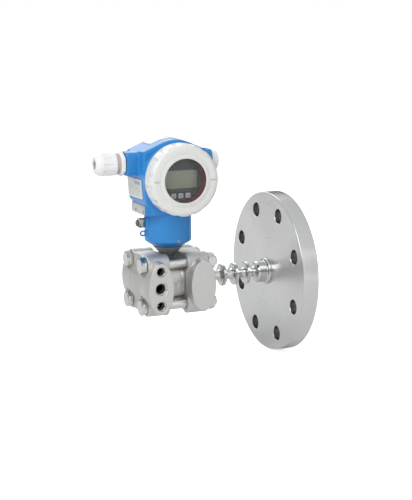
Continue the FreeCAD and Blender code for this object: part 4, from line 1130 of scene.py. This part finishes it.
class EntriesOperator(bpy.types.Operator):
    """Cable gland on the left and blanking plug on the right"""

    bl_idname = "transmitter.entries"
    bl_label = "Cable entries"

    def execute(self, context):
        white = moulded_plastic("gland_plastic", tint("gland"), 0.38, grain=0.00003, coat=0.1,
                                spot=0.02)
        grey = moulded_plastic("gland_ring_plastic", tint("gland_ring"), 0.45)
        black = rubber("entry_rubber", shade(34, 34, 34))
        entry_z = middle("gland_nut").z
        nut_low, nut_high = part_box("gland_nut")
        height = nut_high.x - nut_low.x
        radius = (nut_high.z - nut_low.z) / 2
        hole, inner, flutes_from, flutes_to = 0.0062, 0.0115, 0.0025, 0.016
        steps = [(0, inner), (0, radius - 0.0004), (0.0005, radius), (flutes_from, radius),
                 (0.0026, radius), (0.0155, radius), (0.0165, radius), (0.0205, radius - 0.0007),
                 (0.0228, radius - 0.0019), (0.0245, radius - 0.0036), (height, 0.0091),
                 (height, hole + 0.0006), (height - 0.0006, hole), (height - 0.003, hole),
                 (0.0125, inner)]
        nut = spun("gland_dome_nut", steps, ORIGIN, Z_AXIS, 240)
        flute_tree().bake(nut, finish=white, count=10.0, rim_radius=radius, flute_radius=0.0024,
                          depth=0.0011, first_station=flutes_from + 0.00005,
                          last_station=flutes_to)
        nut.data.transform(put((nut_high.x, 0, entry_z), -X_AXIS))
        own(smoothed(nut, 38), white, "housing", "gland_grey", "gland_nut")

        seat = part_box("gland_washer")[0].x
        grip = hex_blank("gland_hexagon", 0.0265, 0.0052, washer=0.0005)
        grip.data.transform(Matrix.Translation((seat, 0, entry_z)) @
                            Matrix.Rotation(math.pi, 4, "Z"))
        stem_radius, cup, floor, stem_length = 0.0113, 0.0078, 0.002, 0.0175
        stem = spun("stem", [(0, 0), (0, stem_radius), (stem_length, stem_radius),
                             (stem_length, cup), (floor, cup), (floor, 0)],
                    Vector((seat - 0.0045, 0, entry_z)), -X_AXIS, 64)
        gland = merged([grip, stem], "gland_hexagon_body")
        own(smoothed(gland, 35), white, "housing", "gland_white", "gland_body")

        ring_low, ring_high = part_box("gland_ring")
        ring_radius, ring_bore = (ring_high.z - ring_low.z) / 2, 0.01135
        ring_len = ring_high.x - ring_low.x
        ring_steps = [(0, ring_bore), (0, ring_radius - 0.0004), (0.0006, ring_radius),
                      (ring_len * 0.45, ring_radius), (ring_len * 0.5, ring_radius - 0.0005),
                      (ring_len * 0.55, ring_radius), (ring_len - 0.0006, ring_radius),
                      (ring_len, ring_radius - 0.0004), (ring_len, ring_bore)]
        clamp = spun("gland_clamp_ring", eased(ring_steps, 0.0003, 2),
                     Vector((ring_high.x, 0, entry_z)), -X_AXIS, 96)
        own(smoothed(clamp), grey, "housing", "gland_grey", "gland_ring")
        for node in ("gland_washer", "blanking_seal"):
            dress(node, black)
        dress("gland_insert", rubber("gland_insert_rubber", shade(176, 176, 174)))

        plug_low, plug_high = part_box("blanking_plug")
        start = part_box("blanking_seal")[1].x
        plug_radius = (plug_high.z - plug_low.z) / 2
        reach = plug_high.x - start
        bevel, socket, bottom = 0.0016, 0.006, reach - 0.0035
        plug_steps = [(0, 0), (0, plug_radius), (reach * 0.35, plug_radius),
                      (reach * 0.38, plug_radius - 0.0005), (reach * 0.42, plug_radius),
                      (reach - bevel, plug_radius), (reach, plug_radius - bevel),
                      (reach, socket), (bottom, socket), (bottom, 0)]
        plug = spun("entry_blanking_plug", eased(plug_steps, 0.0007, 3),
                    Vector((start, 0, entry_z)), X_AXIS, 96)
        own(smoothed(plug), white, "housing", "gland_white", "blanking_plug")
        return {"FINISHED"}


class CoverOperator(bpy.types.Operator):
    """The fluted screw cover with its pane and the ring that holds it"""

    bl_idname = "transmitter.cover"
    bl_label = "Screw cover"

    def execute(self, context):
        sizes = settings("cover")
        low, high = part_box("display_cover")
        front, rear = -low.y, -high.y
        rim = (high.x - low.x) / 2
        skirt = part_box("cover_seal")[1].z - AXIS_Z
        shoulder, wall, well = front - 0.022, skirt - 0.0028, front - 0.0125
        window, face = sizes.window_radius, sizes.face_radius
        land, groove, seat = front - 0.0006, front - 0.0011, front - 0.0015
        grip_start, chamfer, flute_rows = shoulder + 0.0022, 0.0008, 10
        steps = [(rear, wall), (rear, skirt), (shoulder, skirt), (shoulder, rim - chamfer),
                 (shoulder + chamfer, rim), (grip_start, rim), (grip_start + 0.0001, rim)]
        steps += [(shoulder + 0.004 + 0.0011 * k, rim) for k in range(flute_rows)]
        steps += [(front - 0.0066, rim), (front - 0.0046, rim - 0.0004),
                  (front - 0.0028, rim - 0.0014), (front - 0.0014, rim - 0.0029),
                  (front - 0.0008, face), (land, face - 0.003), (land, window + 0.0062),
                  (groove, window + 0.0058), (groove, window + 0.0054), (land, window + 0.005),
                  (land, window + 0.0034), (front - 0.0002, window + 0.0028),
                  (front, window + 0.0022), (front, window + 0.0006), (front - 0.0005, window),
                  (seat, window), (seat, window + 0.0018), (well, window + 0.0046),
                  (well, window + 0.0098), (shoulder, window + 0.0098), (shoulder, wall)]
        enamel = cast_paint("cover_enamel", tint("cover"), 0.26, coat=0.5, grain=0.0001)
        ring = spun("cover_ring", steps, ORIGIN, Z_AXIS, 480)
        flute_tree().bake(ring, finish=enamel, count=float(sizes.grips), rim_radius=rim,
                          flute_radius=sizes.grip_radius, depth=sizes.grip_depth,
                          first_station=grip_start + 0.00005, last_station=front - 0.0002)
        ring.data.transform(put(DISPLAY_AT, -Y_AXIS))
        self.mark(ring, (window + face) / 2 + 0.0026, low.y)
        own(smoothed(ring, 34), enamel, "cover", "white_paint", "display_cover")

        hold_low, hold_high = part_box("glass_retainer")
        hold = (hold_high.x - hold_low.x) / 2
        depth = hold_high.y - hold_low.y
        hold_steps = [(0, window + 0.0004), (0, hold), (depth, hold), (depth, window + 0.0002),
                      (depth * 0.7, window), (depth * 0.6, window + 0.0007),
                      (depth * 0.5, window)]
        red = turned_metal("window_ring_red", tint("window_ring"), 0.3, pitch=0.0009,
                           depth=0.00012, axis="Y", metallic=0.25)
        holder = spun("window_ring", eased(hold_steps, 0.0003, 2),
                      Vector((CELL_AT.x, hold_high.y, AXIS_Z)), -Y_AXIS, 128)
        own(smoothed(holder), red, "cover", "ring_red", "glass_retainer")

        pane_low, pane_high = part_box("cover_glass")
        pane_radius = (pane_high.x - pane_low.x) / 2
        thick = pane_high.y - pane_low.y
        pane_steps = eased([(0, 0), (0, pane_radius), (thick, pane_radius), (thick, 0)], 0.0006, 3)
        pane = spun("window_pane", pane_steps, Vector((CELL_AT.x, pane_high.y, AXIS_Z)), -Y_AXIS)
        own(settled(pane), clear_glass("window_glass"), "cover", "window_glass", "cover_glass")
        dress("cover_seal", rubber("cover_seal_rubber", shade(30, 30, 30)))
        return {"FINISHED"}

    def mark(self, ring, reach, face):
        """Cuts the two tool slots into the face and raises the index lug at its top."""
        slots = []
        for side in (-1, 1):
            place = put((CELL_AT.x + side * reach, face + 0.0004, AXIS_Z), Y_AXIS)
            slots.append(extruded("slot", rounded_outline(0.0074, 0.0018, 0.0008, 4), 0.002, place))
        place = put((CELL_AT.x, face + 0.0002, AXIS_Z + reach), Y_AXIS)
        lug = extruded("lug", rounded_outline(0.0062, 0.0036, 0.0008, 4), 0.0012, place)
        carved(ring, merged(slots, "slots"))
        carved(ring, lug, "UNION")


class DisplayOperator(bpy.types.Operator):
    """The display unit, its screen and the three keys below it"""

    bl_idname = "transmitter.display"
    bl_label = "Display unit"

    def execute(self, context):
        face_plastic = moulded_plastic("display_plastic", tint("display"), 0.5, grain=0.00005)
        own_copy("display_body", "display_unit", face_plastic, "housing", "display_grey")

        screen = Finish("screen_film", Coat_Weight=0.6, Coat_Roughness=0.05, Roughness=0.35)
        up, across = screen.along("z", "lcd_panel"), screen.along("x", "lcd_panel")
        tone = screen.varied(up.ramp(0.0, 1.0), tint("screen"), 0.92, 1.06)
        edge = (up - 0.5).size().above(0.445).most((across - 0.5).size().above(0.468))
        tone = screen.mix(across.ramp(0.75, 1.0) * 0.25, tone, shade(96, 110, 100))
        screen.feed("Base Color", screen.mix(edge, tone, shade(58, 58, 56)))
        screen.feed("Roughness", 0.3 + screen.noise(700, 2) * 0.1)
        own_copy("lcd_panel", "screen_panel", screen.material, "housing", "lcd_film")

        key_plastic = moulded_plastic("key_plastic", tint("key"), 0.4, grain=0.00003)
        mark_plastic = moulded_plastic("key_mark_plastic", shade(96, 98, 98), 0.5, grain=0.00002)
        marks = {1: [(0.0026, 0.0006)], 2: [(0.0026, 0.0006), (0.0006, 0.0026)],
                 3: [(0.0022, 0.0005), (0.0005, 0.0022)]}
        for number, strokes in marks.items():
            node = f"display_key_{number}"
            (low, high), size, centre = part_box(node), span(node), middle(node)
            cap = extruded(f"key_cap_{number}", rounded_outline(size.x, size.z, 0.0009, 4), size.y,
                           put((centre.x, high.y, centre.z), -Y_AXIS))
            crisp(cap, width=0.0004, segments=3, angle=30)
            own(cap, key_plastic, f"{node}_body", "key_grey", node)
            place = put((centre.x, low.y, centre.z), -Y_AXIS)
            if number == 3:
                place = place @ Matrix.Rotation(math.radians(45), 4, "Z")
            bars = [extruded("stroke", rounded_outline(wide, tall, 0.0002, 2), 0.00004, place)
                    for wide, tall in strokes]
            own(merged(bars, f"key_mark_{number}"), mark_plastic, f"{node}_body", "key_grey")
        return {"FINISHED"}


class FlapOperator(bpy.types.Operator):
    """The flap on the roof, its pin and the three outer keys below it"""

    bl_idname = "transmitter.flap"
    bl_label = "Key flap"

    def execute(self, context):
        pale = moulded_plastic("flap_plastic", tint("flap"), 0.3, grain=0.00002, coat=0.3,
                               spot=0.02)
        own_copy("key_flap", "key_flap_cover", pale, "flap", "flap_pale")
        dress("flap_pin", bright_metal("flap_pin_steel", shade(190, 190, 188), 0.25))
        grey = moulded_plastic("outer_key_plastic", shade(150, 150, 150), 0.5)
        for number in (1, 2, 3):
            dress(f"outer_key_{number}", grey)
        return {"FINISHED"}


class InnerPartsOperator(bpy.types.Operator):
    """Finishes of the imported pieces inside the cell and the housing"""

    bl_idname = "transmitter.inner_parts"
    bl_label = "Inner parts"

    def execute(self, context):
        foil = bright_metal("inner_foil_steel", shade(208, 208, 206), 0.18)
        steel = turned_metal("inner_turned_steel", shade(190, 190, 188), 0.3, pitch=0.001,
                             depth=0.0001)
        packing = moulded_plastic("gasket_packing", shade(208, 206, 198), 0.6)
        for node in ("plus_diaphragm", "minus_diaphragm"):
            dress(node, foil)
        for node in ("plus_gasket", "minus_gasket"):
            dress(node, packing)
        dress("sensor_element", steel)
        dress("sensor_lead", rubber("lead_jacket", shade(44, 44, 50)))
        dress("electronics_insert", moulded_plastic("potting_compound", shade(40, 40, 44), 0.55))
        dress("terminal_block", moulded_plastic("terminal_plastic", shade(60, 76, 70), 0.5))
        return {"FINISHED"}


def light_the_room(world):
    """White to the eye; for light and reflections a bright ceiling over darker walls."""
    world.use_nodes = True
    world.node_tree.nodes.clear()
    graph = Graph(world.node_tree)
    x, y, z = graph.split(graph.node("ShaderNodeTexCoord", {}, {}, "Generated"))
    level = z.ramp(0.28, 0.6) * 0.58 + 0.08 + x.ramp(0.3, -0.9) * 0.2 + y.ramp(0.2, -0.9) * 0.1
    room = graph.node("ShaderNodeBackground", {}, {"Color": (0.98, 0.99, 1.0, 1),
                                                   "Strength": level})
    white = graph.node("ShaderNodeBackground", {}, {"Color": (1, 1, 1, 1), "Strength": 1.0})
    seen = graph.node("ShaderNodeLightPath", {}, {}, "Is Camera Ray")
    both = graph.node("ShaderNodeMixShader", {}, {0: seen, 1: room, 2: white})
    graph.node("ShaderNodeOutputWorld", {}, {"Surface": both}, None)


class StageOperator(bpy.types.Operator):
    """Pale floor, soft studio light and the camera"""

    bl_idname = "transmitter.stage"
    bl_label = "Stage"

    def execute(self, context):
        sizes = settings("stage")
        scene = bpy.context.scene
        scene.view_settings.view_transform = "Standard"
        level, reach = CAD_BOX[0].z - 0.0002, 30.0
        mesh = bpy.data.meshes.new("floor")
        corners = [(x * reach, y * reach, level) for x, y in ((-1, -1), (1, -1), (1, 1), (-1, 1))]
        mesh.from_pydata(corners, [], [(0, 1, 2, 3)])
        floor = new_object("floor", mesh)
        paint = Finish("floor_paint", Roughness=0.9, Specular_IOR_Level=0.1,
                       Base_Color=(0.8, 0.8, 0.8, 1), Emission_Strength=1.0)
        seen = paint.node("ShaderNodeLightPath", {}, {}, "Is Camera Ray")
        paint.feed("Emission Color", paint.mix(seen, (0.0, 0.0, 0.0, 1), (0.75, 0.75, 0.75, 1)))
        mesh.materials.append(paint.material)

        scene.world = bpy.data.worlds.new("studio")
        light_the_room(scene.world)

        look_at = Vector((CELL_AT.x + 0.05, 0, 0.05))
        lamps = [("key_softbox", (-1.4, -0.9, 1.1), 1.2, sizes.key_power),
                 ("fill_softbox", (0.5, -1.6, 0.4), 1.2, sizes.key_power * 0.25),
                 ("back_softbox", (-0.1, 1.5, 1.0), 1.5, sizes.key_power * 0.7)]
        for name, place_at, size, power in lamps:
            lamp = bpy.data.lights.new(name, "AREA")
            lamp.energy = power
            lamp.size = size
            item = new_object(name, lamp)
            item.location = place_at
            item.rotation_euler = (look_at - item.location).to_track_quat("-Z", "Y").to_euler()

        camera = bpy.data.cameras.new("camera")
        camera.lens = sizes.lens
        camera.clip_start = 0.05
        camera.clip_end = 200
        item = new_object("camera", camera)
        turn, tilt = sizes.azimuth, sizes.elevation
        back = Vector((math.sin(turn) * math.cos(tilt), -math.cos(turn) * math.cos(tilt),
                       math.sin(tilt)))
        item.location = sizes.camera
        item.rotation_euler = (-back).to_track_quat("-Z", "Y").to_euler()
        scene.camera = item
        return {"FINISHED"}


OPERATORS = (FlangeOperator, NeckOperator, BlocksOperator, FastenersOperator, CellOperator,
             HousingOperator, PlatesOperator, EntriesOperator, CoverOperator, DisplayOperator,
             FlapOperator, InnerPartsOperator, StageOperator)


class TransmitterPanel(bpy.types.Panel):
    """Lists the pieces and the stage"""

    bl_idname = "VIEW3D_PT_transmitter"
    bl_label = "Transmitter"
    bl_space_type = "VIEW_3D"
    bl_region_type = "UI"
    bl_category = "Transmitter"

    def draw(self, context):
        for operator in OPERATORS:
            self.layout.operator(operator.bl_idname)
        for name, group in SETTINGS.items():
            box = self.layout.box()
            box.label(text=name.capitalize())
            for prop in group.__annotations__:
                box.prop(settings(name), prop)


def register():
    for name, group in SETTINGS.items():
        bpy.utils.register_class(group)
        setattr(bpy.types.Scene, f"transmitter_{name}", bpy.props.PointerProperty(type=group))
    for operator in OPERATORS:
        bpy.utils.register_class(operator)
    bpy.utils.register_class(TransmitterPanel)


def unregister():
    bpy.utils.unregister_class(TransmitterPanel)
    for operator in reversed(OPERATORS):
        bpy.utils.unregister_class(operator)
    for name, group in SETTINGS.items():
        delattr(bpy.types.Scene, f"transmitter_{name}")
        bpy.utils.unregister_class(group)


def main():
    register()
    for operator in OPERATORS:
        group, name = operator.bl_idname.split(".")
        getattr(getattr(bpy.ops, group), name)()


if __name__ == "__main__":
    main()
